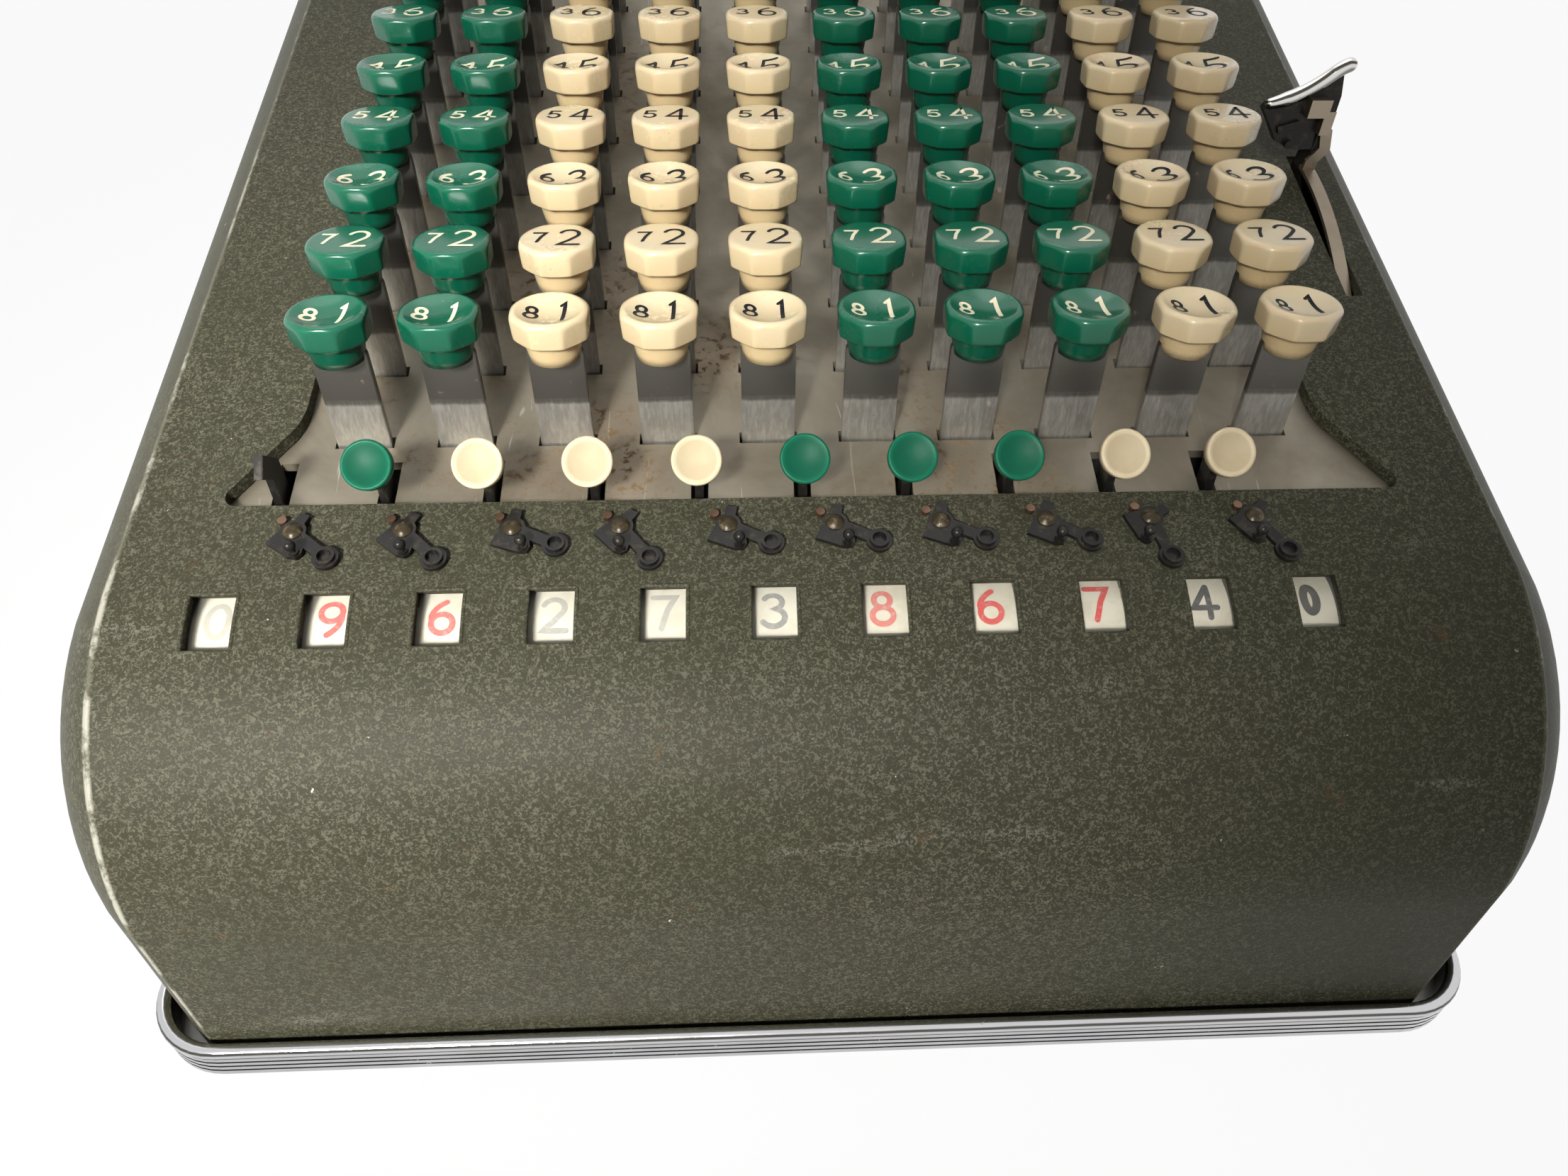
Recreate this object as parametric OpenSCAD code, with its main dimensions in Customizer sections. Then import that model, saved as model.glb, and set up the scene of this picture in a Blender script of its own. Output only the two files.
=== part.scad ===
// Key-driven adding machine with ten columns of keys, eleven numeral wheels,
// decimal pointers, carry cutoff levers and a zeroing lever.
// Millimetres. X runs to the operator's right, Y to the back, Z up.
// The origin is under the middle of the machine, on the table.

/* [Housing] */
// Housing beside the outer columns of keys, on each side, at its widest
side_room = 44.75; // [43:0.25:48]
// Housing from its nose to its back
body_d = 356; // [350:1:380]
// How far the two crisp edges along the top stand in from the widest place
edge_in = 17; // [15:0.5:19]
// How far below the edges the sides reach their full width
side_drop = 32; // [26:1:36]
// How far the sides lean in from the widest place down to the foot
foot_in = 9; // [6:0.5:11]
// Height above the table where the sides start to lean in
lean_z = 56; // [50:1:66]
// Radius of the rounded nose
nose_r = 56; // [50:1:60]
// Wall of the housing
wall = 2.2; // [1.8:0.2:3]
// Radius over the top, behind the keyboard
crown_r = 120; // [100:5:130]
// Radius of the rounded back
back_r = 45; // [38:1:50]

/* [Keyboard] */
// Columns of keys
columns = 10; // [6:1:10]
// Keys in each column
rows = 9; // [7:1:9]
// Distance between columns
column_pitch = 19.05; // [18.8:0.05:19.2]
// Distance between rows, front to back
row_pitch = 17.1; // [16.8:0.1:17.4]
// Rise of each row over the one in front of it
row_rise = 5.4; // [5:0.1:5.8]
// Distance from the housing's nose back to the first row
first_row_back = 68.5; // [67:0.5:70]
// Height of the first row's key tops above the table
first_key_z = 138; // [136:1:140]
// Height of a key top above the key plate
key_height = 27.2; // [26:0.1:29]
// Width of a key top over its corners
key_w = 14.4; // [13.6:0.1:15.4]
// Height of the key top's eight-sided rim
rim_h = 4.4; // [4:0.1:5.4]
// Height of the round neck below the rim
neck_h = 3.6; // [3:0.1:4.6]
// Width of the round neck where it meets the stem
neck_w = 7.9; // [7.2:0.1:8.8]
// Width of a key stem
stem_w = 10; // [9:0.1:10.4]
// Thickness of a key stem
stem_t = 1.5; // [1.2:0.1:2]
// Play between a stem and its slot, on each side
stem_play = 0.5; // [0.3:0.05:0.7]
// Travel of the keys
key_travel = 10; // [6:0.5:12]
// Thickness of the key plate
plate_t = 1.6; // [1.2:0.1:2]
// Gap between the housing and the key plate
plate_gap = 0.3; // [0.2:0.1:0.8]
// Depth of the lower guide plate under the key plate
guide_drop = 34; // [30:1:38]

/* [Numeral wheels] */
// Radius of a numeral wheel
wheel_r = 15; // [14:0.5:16]
// Width of a numeral wheel
wheel_w = 8.8; // [8.4:0.1:9]
// Gap between the housing and the numeral wheels, for the clear strip
wheel_gap = 0.8; // [0.8:0.1:1.6]
// Radius of the shaft that carries the numeral wheels
wheel_shaft_r = 3; // [2.5:0.1:4]
// Distance from the first row forward to the windows
window_ahead = 38; // [36:0.1:39]
// Width of a window
window_w = 8.5; // [7.6:0.1:8.7]
// Height of a window
window_h = 10.5; // [9:0.1:11]
// Thickness of the clear strip behind the windows
strip_t = 0.4; // [0.3:0.05:0.45]

/* [Decimal pointers] */
// Distance from the first row forward to the pointers
pointer_ahead = 22.1; // [21.4:0.1:23]
// Distance of a pointer to the left of its column
pointer_left = 7.8; // [7:0.1:8.1]
// Length of a pointer's long arm
pointer_arm = 8.6; // [8:0.1:9.2]
// Thickness of a pointer's plate
pointer_t = 0.8; // [0.6:0.1:1]
// Radius of the ring at the arm's end
ring_r = 2.3; // [2:0.1:2.4]

/* [Cutoff levers] */
// Distance of a cutoff lever to the right of its column
cutoff_right = 6; // [5.8:0.1:6.2]
// Thickness of a cutoff lever
cutoff_t = 1.6; // [1.2:0.1:1.8]
// Width of a cutoff button
button_w = 9; // [8:0.1:9.5]
// Thickness of a cutoff button
button_t = 2.2; // [1.8:0.1:2.8]
// Lean of the buttons' faces back from upright
button_lean = 42; // [35:1:50]

/* [Zeroing lever] */
// Distance from the first row back to the lever's shaft
lever_back = 84; // [82.5:0.1:85]
// Radius of the strip that covers the slot, about the shaft
cover_strip_r = 77.4; // [76.6:0.1:78]
// Length of the finger bar
finger_bar_l = 17; // [15:0.5:18]
// Width of the slot in the housing
slot_w = 3.5; // [3.4:0.1:4]

/* [Base] */
// Height of the rubber feet
foot_h = 7; // [5:0.5:8]
// Radius of the rubber feet
foot_r = 10; // [8:0.5:12]
// Thickness of the base pan
pan_t = 2.5; // [2:0.1:3]
// Height of the bright band around the base
band_h = 8.5; // [8:0.5:10]
// Gap between the housing and the bright band
band_gap = 0.4; // [0.3:0.1:0.8]
// Thickness of the bright band
band_t = 2.5; // [2:0.1:3]
// Outer corner radius of the bright band
band_corner = 16; // [15:0.5:17]

/* [Fits] */
// Running clearance on the radius of a turning part
running = 0.05; // [0.03:0.01:0.08]
// Clearance on the radius of a fixed pin, rod or screw
seat = 0.02; // [0.01:0.01:0.04]

/* [Hidden] */
$fn = 96;
eps = 0.01;
big = 400;
slope = atan(row_rise / row_pitch);
body_w = columns * column_pitch + 2 * side_room;
front_y = -body_d / 2;
back_y = body_d / 2;
row_1_y = front_y + first_row_back;
plate_z = first_key_z - key_height;
deck_z = plate_z + wall / cos(slope) + plate_gap;
nose_y = front_y + nose_r;
nose_z = deck_at(nose_y - nose_r * sin(slope)) - nose_r * cos(slope);
deck_end_y = row_1_y + rows * row_pitch + 11;
crown_y = deck_end_y + crown_r * sin(slope);
crown_z = deck_at(deck_end_y) - crown_r * cos(slope);
crown_fall = 6;
rear_y = back_y - back_r;
rear_z = crown_z + crown_r / cos(crown_fall) - (rear_y - crown_y) * tan(crown_fall)
    - back_r / cos(crown_fall);
ease = 0.2;
side_out = edge_in + ease;
side_r = (side_drop * side_drop + side_out * side_out) / (2 * side_out);
side_x = body_w / 2 + ease - side_r;
pan_z = foot_h + pan_t;
lean_out = foot_in + ease;
lean_r = (pow(lean_z - pan_z, 2) + lean_out * lean_out) / (2 * lean_out);
lean_x = body_w / 2 + ease - lean_r;
opening_w = columns * column_pitch + 3.5;
opening_front_y = row_1_y - 16;
opening_back_y = row_1_y + (rows - 1) * row_pitch + 15;
flare_y = row_1_y + 6.5;
flare_r = 12.6;
flare_lean = 33.7;
corner_r = 2.2;
plate_front = row_1_y - pointer_ahead + 2.6;
window_y = row_1_y - window_ahead;
window_angle = asin((nose_y - window_y) / nose_r);
wheel_out = nose_r - wall - wheel_gap - wheel_r;
wheel_y = nose_y - wheel_out * sin(window_angle);
wheel_z = nose_z + wheel_out * cos(window_angle);
wheels = columns + 1;
pinion_r = 8;
pinion_w = 2;
pinion_teeth = 10;
pointer_y = row_1_y - pointer_ahead;
rivet_r = 1.3;
stop_pin_r = 0.8;
stop_pin_at = [-2.4, 2.5, 0];
cutoff_y = row_1_y - 8;
cutoff_z = plate_z - 30;
cutoff_shaft_r = 2.5;
cutoff_hub_r = 4;
frame_x = opening_w / 2 + 14.5;
frame_t = 3;
lever_x = frame_x + frame_t / 2 + 2.1;
lever_y = row_1_y + lever_back;
lever_z = first_key_z - 77;
lever_shaft_r = 4;
lever_lean = 10.5;
lever_t = 1.8;
lever_reach_y = (cover_strip_r + 11) * sin(lever_lean);
lever_top_z = lever_z + (cover_strip_r + 11) * cos(lever_lean);
rod_r = 4;
rod_back_y = row_1_y + rows * row_pitch + 1.1;
rod_low_z = pan_z + 23.5;
rods = [
    [row_1_y - 35, rod_low_z],
    [rod_back_y, rod_low_z],
    [rod_back_y, rod_low_z + 62]
];
screw_r = 2;
band_z = foot_h + 1.5;
band_half_x = round(10 * (side_at(band_z + band_h) + band_gap + band_t)) / 10;
band_half_y = body_d / 2 + 3 * band_gap + band_t;
screws = [for (y = [back_y - 28, front_y + 36], side = [1, -1]) [side * (frame_x + 8), y]];
feet_at = [for (y = [back_y - 50, front_y + 58], side = [1, -1]) [side * (frame_x - 7.5), y]];
pan_holes = [for (x = [-1:1], y = [0:2])
    [x * (frame_x - 51.5), front_y + 108 + y * (body_d - 196) / 2]];
// Rest angle of each decimal pointer, turned to the right from straight ahead
pointer_rest = [50, 45, 65, 38, 62, 63, 63, 58, 14, 29];

function deck_at(y) = deck_z + (y - row_1_y) * tan(slope);
function plate_at(y) = plate_z + (y - row_1_y) * tan(slope);
function column_x(c) = (c - (columns + 1) / 2) * column_pitch;
function side_at(z) = lean_x + sqrt(lean_r * lean_r - pow(lean_z - z, 2));

// Shapes of the housing. Each takes an inset e: 0 gives the outside, wall the inside.

// Runs each side view given over the width
module across(width) {
    for (i = [0:$children - 1])
        rotate([90, 0, 90]) linear_extrude(width, center = true) children(i);
}

// Slice of a disc at a place, between two leans back from upright
module slice(y, z, r, from, to) {
    middle = (from + to) / 2;
    intersection() {
        translate([y, z]) circle(r);
        polygon([
            [y, z],
            [y + 2 * r * sin(from), z + 2 * r * cos(from)],
            [y + 3 * r * sin(middle), z + 3 * r * cos(middle)],
            [y + 2 * r * sin(to), z + 2 * r * cos(to)]
        ]);
    }
}

// Housing without its curved sides: nose, slope, crown and rounded back
module plain_form(e) {
    floor_z = e > 0 ? pan_z - 10 : pan_z;
    across(body_w - 2 * e) {
        polygon([
            [front_y + e, floor_z],
            [front_y + e, nose_z],
            [nose_y - (nose_r - e) * sin(slope), nose_z + (nose_r - e) * cos(slope)],
            [crown_y - (crown_r - e) * sin(slope), crown_z + (crown_r - e) * cos(slope)],
            [crown_y + (crown_r - e) * sin(crown_fall),
             crown_z + (crown_r - e) * cos(crown_fall)],
            [rear_y + (back_r - e) * sin(crown_fall), rear_z + (back_r - e) * cos(crown_fall)],
            [back_y - e, rear_z],
            [back_y - e, floor_z]
        ]);
        slice(nose_y, nose_z, nose_r - e, -90, -slope);
        slice(crown_y, crown_z, crown_r - e, -slope, crown_fall);
        slice(rear_y, rear_z, back_r - e, crown_fall, 90);
    }
}

// Corner that the curved sides leave free, with x to the right and depth below the top
module side_corner(e) {
    difference() {
        translate([side_x, -20]) square([side_r + 20, side_drop + 20]);
        translate([side_x, side_drop]) circle(side_r - e);
    }
}

// The same corner, turned to be swept round an arc of radius r
module turned_corner(r, e) {
    translate([r, 0]) rotate(90) side_corner(e);
}

// The same corner, run straight to the back over a length
module corner_run(e, length) {
    translate([0, length, 0]) rotate([90, 0, 0])
        linear_extrude(length) mirror([0, 1]) side_corner(e);
}

// Sweeps the corner about an axis along X, between two leans back from upright
module corner_turn(r, e, from, to) {
    rotate([0, 90, 0]) rotate([0, 0, 180 - to])
        rotate_extrude(angle = to - from) turned_corner(r, e);
}

// One of the seven cuts along the right-hand side: up the front, over the nose, up the
// slope, over the crown, down the fall and down the back. The straight runs lie a hair
// deeper than the arcs and go on past them.
module side_cut(e, n) {
    sink = 0.12;
    over = 12;
    slope_run = (crown_y - nose_y + (nose_r - crown_r) * sin(slope)) / cos(slope);
    fall_run = (rear_y - crown_y + (back_r - crown_r) * sin(crown_fall)) / cos(crown_fall);
    if (n == 1) translate([0, front_y + sink, pan_z - 20])
        linear_extrude(nose_z - pan_z + 20 + over) side_corner(e);
    if (n == 2) translate([0, nose_y, nose_z]) corner_turn(nose_r, e, -90, -slope);
    if (n == 3) translate([0, nose_y - nose_r * sin(slope), nose_z + nose_r * cos(slope)])
        rotate([slope, 0, 0]) translate([0, -over, -sink]) corner_run(e, slope_run + 2 * over);
    if (n == 4) translate([0, crown_y, crown_z]) corner_turn(crown_r, e, -slope, crown_fall);
    if (n == 5) translate([0, crown_y + crown_r * sin(crown_fall),
            crown_z + crown_r * cos(crown_fall)])
        rotate([-crown_fall, 0, 0]) translate([0, -over, -sink])
            corner_run(e, fall_run + 2 * over);
    if (n == 6) translate([0, rear_y, rear_z]) corner_turn(back_r, e, crown_fall, 90);
    if (n == 7) translate([0, back_y - sink, pan_z - 20])
        linear_extrude(rear_z - pan_z + 20 + over) mirror([0, 1]) side_corner(e);
    if (n == 8) lean_cut(e);
}

// What the lower sides lean away from
module lean_cut(e) {
    rotate([90, 0, 0]) linear_extrude(2 * body_d, center = true) difference() {
        translate([body_w / 2 - foot_in - 20, pan_z - 20]) square([60, lean_z - pan_z + 20]);
        translate([lean_x, lean_z]) circle(lean_r - e);
    }
}

// Housing with its sides cut one after the other
module housing_form(e, cuts = 16) {
    if (cuts == 0) plain_form(e);
    else difference() {
        housing_form(e, cuts - 1);
        if (cuts > 8) mirror([1, 0, 0]) side_cut(e, cuts - 8);
        else side_cut(e, cuts);
    }
}

// Keyboard opening as a tall block: straight beside the keys, with a round turn out to
// each front corner. The slanting edges cross the round ones a hair off their tangents.
module opening() {
    hair = 0.1;
    tall = 120;
    half_w = opening_w / 2;
    front = opening_front_y;
    turn = [half_w + flare_r, flare_y];
    out = [cos(flare_lean), sin(flare_lean)];
    start = turn - (flare_r - hair) * out;
    corner_y = front + corner_r;
    corner_x = start[0] - (corner_r + hair + out[1] * (corner_y - start[1])) / out[0];
    finish = [corner_x, corner_y] + (corner_r - hair) * out;
    translate([0, 0, deck_z - 30]) difference() {
        union() {
            translate([-half_w, flare_y, 0]) cube([2 * half_w, opening_back_y - flare_y, tall]);
            linear_extrude(tall) polygon([
                [-half_w - 2, flare_y],
                [-start[0], start[1]],
                [-finish[0], finish[1]],
                [-corner_x, front],
                [corner_x, front],
                [finish[0], finish[1]],
                [start[0], start[1]],
                [half_w + 2, flare_y]
            ]);
            for (side = [-1, 1])
                translate([side * corner_x, corner_y, 0]) cylinder(h = tall, r = corner_r);
        }
        for (side = [-1, 1]) translate([side * turn[0], turn[1], -1])
            cylinder(h = tall + 2, r = flare_r);
    }
}

// Puts what is drawn flat at a place on the sloping deck
module on_deck(x, y) {
    translate([x, y, deck_at(y)]) rotate([slope, 0, 0]) children();
}

module window_hole(k) {
    translate([column_x(k - 1), nose_y, nose_z]) rotate([window_angle, 0, 0])
        translate([0, 0, nose_r]) cube([window_w, window_h, 3 * wall], center = true);
}

module lever_slot() {
    slot_front = row_1_y + 31.5;
    slot_back = row_1_y + 75;
    translate([lever_x - slot_w / 2, slot_front, deck_z - 10])
        cube([slot_w, slot_back - slot_front, 80]);
}

// Bosses inside the foot of the housing, each with a rib to the wall
module bosses() {
    difference() {
        intersection() {
            for (at = screws) translate([at[0], at[1], pan_z]) {
                cylinder(h = 22, r = 5);
                translate([at[0] > 0 ? 0 : -20, -2, 0]) cube([20, 4, 22]);
            }
            housing_form(wall / 2);
        }
        for (at = screws) translate([at[0], at[1], pan_z - 1]) cylinder(h = 17, r = screw_r + seat);
    }
}

// Painted housing in one piece, open below
module top_cover() color([0.27, 0.26, 0.2]) {
    difference() {
        housing_form(0);
        housing_form(wall);
        opening();
        for (k = [1:wheels]) window_hole(k);
        for (c = [1:columns]) on_deck(column_x(c) - pointer_left, pointer_y) {
            cylinder(h = 12, r = rivet_r + seat, center = true);
            translate(stop_pin_at) cylinder(h = 12, r = stop_pin_r + seat, center = true);
        }
        lever_slot();
    }
    bosses();
}

// Clear strip behind the windows, bent to the curve of the nose
module window_strip() color([0.9, 0.9, 0.86, 0.4]) {
    strip_r = nose_r - wall;
    left = column_x(0) - window_w;
    right = column_x(columns) + window_w;
    translate([left, nose_y, nose_z])
        rotate([0, 90, 0]) rotate([0, 0, 180 + window_angle - 8])
            rotate_extrude(angle = 16)
                translate([strip_r - strip_t, 0]) square([strip_t, right - left]);
}

// Keyboard and its carriage

module plate_outline(top, y_from, y_to, thick) {
    polygon([
        [y_from, top + (y_from - row_1_y) * tan(slope)],
        [y_to, top + (y_to - row_1_y) * tan(slope)],
        [y_to, top + (y_to - row_1_y) * tan(slope) - thick],
        [y_from, top + (y_from - row_1_y) * tan(slope) - thick]
    ]);
}

module sloping_plate(top, y_from, y_to, thick, width) {
    rotate([90, 0, 90]) linear_extrude(width, center = true)
        plate_outline(top, y_from, y_to, thick);
}

module stem_slots(low, high) {
    for (c = [1:columns], r = [1:rows])
        translate([column_x(c), row_1_y + (r - 1) * row_pitch, (low + high) / 2])
            cube([stem_w + 2 * stem_play, stem_t + 2 * stem_play, high - low], center = true);
}

// Steel plate that the key stems come up through
module key_plate() color([0.62, 0.61, 0.58]) {
    difference() {
        sloping_plate(plate_z, plate_front, row_1_y + rows * row_pitch + 6, plate_t,
            2 * frame_x + frame_t);
        stem_slots(plate_z - 20, plate_z + 80);
        for (c = [0:columns - 1])
            translate([column_x(c) + cutoff_right - 1.6, plate_front - 1, plate_z - 20])
                cube([3.2, 16, 30]);
    }
}

// Lower plate that keeps the stems upright
module guide_plate() color([0.5, 0.5, 0.48]) {
    difference() {
        sloping_plate(plate_z - guide_drop, row_1_y - 3, row_1_y + rows * row_pitch + 2, 1.2,
            2 * frame_x - frame_t);
        stem_slots(plate_z - guide_drop - 20, plate_z + 80);
    }
}

// Key top with a rounded edge, eight flat sides below it and a round neck
module key_top(dished) {
    w = key_w / 2;
    edge = 1.2;
    dish_r = 14;
    dish_rim = w - edge - 0.1;
    difference() {
        union() {
            intersection() {
                rotate_extrude() polygon(concat(
                    [[0, -rim_h], [0, 0]],
                    [for (a = [90:-22.5:0]) [w - edge + edge * cos(a), edge * sin(a) - edge]],
                    [[w, 0.6 - rim_h], [w - 0.5, -rim_h]]
                ));
                translate([0, 0, -rim_h]) rotate(22.5)
                    cylinder(h = rim_h, r1 = w * 0.97, r2 = w * 1.05, $fn = 8);
            }
            translate([0, 0, -rim_h - neck_h])
                cylinder(h = neck_h + eps, r1 = neck_w / 2, r2 = neck_w / 2 + 0.95);
        }
        if (dished) translate([0, 0, sqrt(dish_r * dish_r - dish_rim * dish_rim)])
            sphere(dish_r);
    }
}

// Flat stem with rounded shoulders
module key_stem(length) {
    shoulder = 1.5;
    top = -rim_h - neck_h + 1;
    rotate([90, 0, 0]) linear_extrude(stem_t, center = true) {
        translate([-stem_w / 2, -length]) square([stem_w, length + top - shoulder]);
        translate([-stem_w / 2 + shoulder, top - shoulder - eps])
            square([stem_w - 2 * shoulder, shoulder + eps]);
        for (side = [-1, 1])
            translate([side * (stem_w / 2 - shoulder), top - shoulder]) circle(shoulder);
    }
}

// One column of keys and the bar that ties the stems together below
module key_column(c) color(column_colour(c)) {
    bar_top = plate_z - guide_drop - 6;
    stem_l = key_height + guide_drop + 9;
    for (r = [1:rows])
        translate([column_x(c), row_1_y + (r - 1) * row_pitch, first_key_z + (r - 1) * row_rise]) {
            key_top(r % 2 == 1);
            key_stem(stem_l);
        }
    translate([column_x(c), 0, 0])
        sloping_plate(bar_top, row_1_y - 2, row_1_y + (rows - 1) * row_pitch + 2, 7, 2.4);
}

function column_colour(c) =
    c <= 2 || (c >= 6 && c <= 8) ? [0.02, 0.29, 0.2] : [0.93, 0.86, 0.66];

// Inner works

module frame_outline() {
    low = pan_z;
    y_from = row_1_y - 44;
    y_to = row_1_y + rows * row_pitch + 10;
    top = plate_z - plate_t;
    polygon([
        [y_from, low],
        [y_to, low],
        [y_to, top + (y_to - row_1_y) * tan(slope)],
        [row_1_y - 24, top - 24 * tan(slope)],
        [row_1_y - 30, top - 24 * tan(slope) - 5],
        [y_from, wheel_z]
    ]);
}

// Two steel side plates that carry the shafts and the key plate
module side_frames() color([0.45, 0.45, 0.44]) {
    for (side = [-1, 1]) translate([side * frame_x, 0, 0])
        rotate([90, 0, 90]) linear_extrude(frame_t, center = true) difference() {
            frame_outline();
            for (rod = rods) translate(rod) circle(rod_r + seat);
            translate([wheel_y, wheel_z]) circle(wheel_shaft_r + seat);
            translate([cutoff_y, cutoff_z]) circle(cutoff_shaft_r + seat);
            translate([lever_y, lever_z]) circle(lever_shaft_r + running);
            translate([row_1_y + 20, 50]) circle(16);
            translate([row_1_y + 118, 56]) circle(22);
        }
}

module cross_shaft(y, z, r, past) {
    length = 2 * frame_x + frame_t + 2 * past;
    translate([-length / 2, y, z]) rotate([0, 90, 0]) cylinder(h = length, r = r);
}

// Rods that tie the side plates together
module cross_rods() color([0.6, 0.6, 0.58]) {
    for (rod = rods) cross_shaft(rod[0], rod[1], rod_r, 1);
}

module wheel_shaft() color([0.72, 0.72, 0.7]) cross_shaft(wheel_y, wheel_z, wheel_shaft_r, 1);

module cutoff_shaft() color([0.72, 0.72, 0.7])
    cross_shaft(cutoff_y, cutoff_z, cutoff_shaft_r, 1);

// Numeral wheel with its toothed pinion
module numeral_wheel(k) color([0.93, 0.9, 0.82]) {
    translate([column_x(k - 1), wheel_y, wheel_z]) rotate([0, 90, 0]) difference() {
        union() {
            translate([0, 0, -wheel_w / 2]) cylinder(h = wheel_w, r = wheel_r);
            translate([0, 0, wheel_w / 2 - eps]) difference() {
                cylinder(h = pinion_w, r = pinion_r);
                for (t = [1:pinion_teeth]) rotate(t * 360 / pinion_teeth)
                    translate([pinion_r, 0, -1]) cylinder(h = pinion_w + 2, r = 1.4);
            }
        }
        cylinder(h = 4 * wheel_w, r = wheel_shaft_r + running, center = true);
        for (side = [-1, 1]) translate([0, 0, side * wheel_w / 2]) difference() {
            cylinder(h = 3, r = wheel_r - 1.6, center = true);
            cylinder(h = 4, r = pinion_r + 1.5, center = true);
        }
    }
}

// Decimal pointers

// Thin sheet of one or more shapes
module sheet(thick) {
    for (i = [0:$children - 1]) linear_extrude(thick) children(i);
}

// Plate with a tab, a pointed tail, a ball on a post and an arm that ends in a ring
module decimal_pointer(c) color([0.08, 0.08, 0.08]) {
    lift = 0.3;
    arm_w = 2.2;
    knob = [3.7, -2.7, 0];
    on_deck(column_x(c) - pointer_left, pointer_y) rotate(pointer_rest[c - 1] - 90)
        translate([0, 0, lift]) {
            difference() {
                union() {
                    sheet(pointer_t) {
                        circle(2.3);
                        translate([0, -arm_w / 2]) square([pointer_arm - ring_r + 0.4, arm_w]);
                        rotate(108) translate([0, -1]) square([3.9, 2]);
                        polygon([
                            [-1.9, -1],
                            [-1.76, -4.57],
                            [3.5, -4.05],
                            [4.8, -3.3],
                            [4.9, -2.2],
                            [4.1, -1],
                            [0, 1]
                        ]);
                    }
                    translate([pointer_arm, 0, 0]) cylinder(h = pointer_t, r = ring_r);
                    translate([pointer_arm, 0, 0]) cylinder(h = 1.4, r = ring_r - 0.55);
                    translate(knob) cylinder(h = pointer_t + 0.5, r = 0.95);
                    translate(knob) cylinder(h = 2.4, r = 0.55);
                    translate(knob + [0, 0, 2.9]) sphere(1.05);
                }
                translate([0, 0, -1]) cylinder(h = 4, r = rivet_r + running);
                translate([pointer_arm, 0, 0.5]) cylinder(h = 2, r = ring_r - 1.05);
            }
        }
}

// Round-headed rivets that the pointers turn on
module pointer_rivets() color([0.12, 0.12, 0.12]) {
    head_z = 0.3 + pointer_t + 0.15;
    for (c = [1:columns]) on_deck(column_x(c) - pointer_left, pointer_y) {
        translate([0, 0, -wall - 1]) cylinder(h = wall + 1 + head_z + 0.2, r = rivet_r);
        translate([0, 0, head_z]) intersection() {
            translate([0, 0, -1.4]) sphere(2.2);
            cylinder(h = 4, r = 3);
        }
    }
}

// Small flat pins that stop the pointers' tails
module stop_pins() color([0.6, 0.38, 0.25]) {
    for (c = [1:columns]) on_deck(column_x(c) - pointer_left, pointer_y)
        translate(stop_pin_at + [0, 0, -wall]) cylinder(h = wall + 1, r = stop_pin_r);
}

// Carry cutoff levers

module button() {
    difference() {
        union() {
            cylinder(h = button_t - 0.7, r = button_w / 2);
            translate([0, 0, button_t - 0.7])
                cylinder(h = 0.7, r1 = button_w / 2, r2 = button_w / 2 - 0.4);
        }
        translate([0, 0, button_t + 10.5]) sphere(11.2);
    }
}

// Lever 1 has no button; the others carry one each, turned up to face the operator
module cutoff_lever(c) color(c == 1 ? [0.1, 0.1, 0.1] : cutoff_colour(c)) {
    seat_y = row_1_y - 16.4;
    seat_z = plate_z + 4.1;
    neck_y = row_1_y - 11.6;
    translate([column_x(c - 1) + cutoff_right, 0, 0]) {
        difference() {
            across(cutoff_t) {
                translate([cutoff_y, cutoff_z]) circle(cutoff_hub_r);
                polygon([
                    [cutoff_y - 3.2, cutoff_z - 1],
                    [neck_y - 2, plate_z - 4],
                    [neck_y - 2, plate_z + 1.5],
                    [seat_y - 1, seat_z],
                    [seat_y + 2, seat_z + 3.2],
                    [neck_y + 2, plate_z + 3.4],
                    [neck_y + 2.4, plate_z - 4],
                    [cutoff_y + 3.2, cutoff_z - 1]
                ]);
            }
            translate([0, cutoff_y, cutoff_z]) rotate([0, 90, 0])
                cylinder(h = 2 * cutoff_t, r = cutoff_shaft_r + running, center = true);
        }
        if (c > 1) translate([0, seat_y + 0.5, seat_z + 1.6])
            rotate([90 - button_lean, 0, 0]) translate([0, 0, -0.4]) button();
    }
}

function cutoff_colour(c) =
    c == 2 || (c >= 6 && c <= 8) ? [0.02, 0.29, 0.2] : [0.93, 0.86, 0.66];

// Zeroing lever

module zero_shaft() color([0.66, 0.66, 0.64]) {
    left = -frame_x - frame_t / 2 - 1;
    right = lever_x + lever_t / 2 + 1.2;
    translate([left, lever_y, lever_z]) rotate([0, 90, 0])
        cylinder(h = right - left, r = lever_shaft_r);
}

// Puts what is drawn in the arm's own frame on the shaft, with Z along the arm
module on_arm() {
    translate([lever_x, lever_y, lever_z]) rotate([lever_lean, 0, 0]) children();
}

// Puts what is drawn upright, facing the operator, at the top of the arm
module at_arm_top(ahead) {
    translate([lever_x, lever_y - lever_reach_y - ahead, lever_top_z]) rotate([90, 0, 0])
        children();
}

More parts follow.
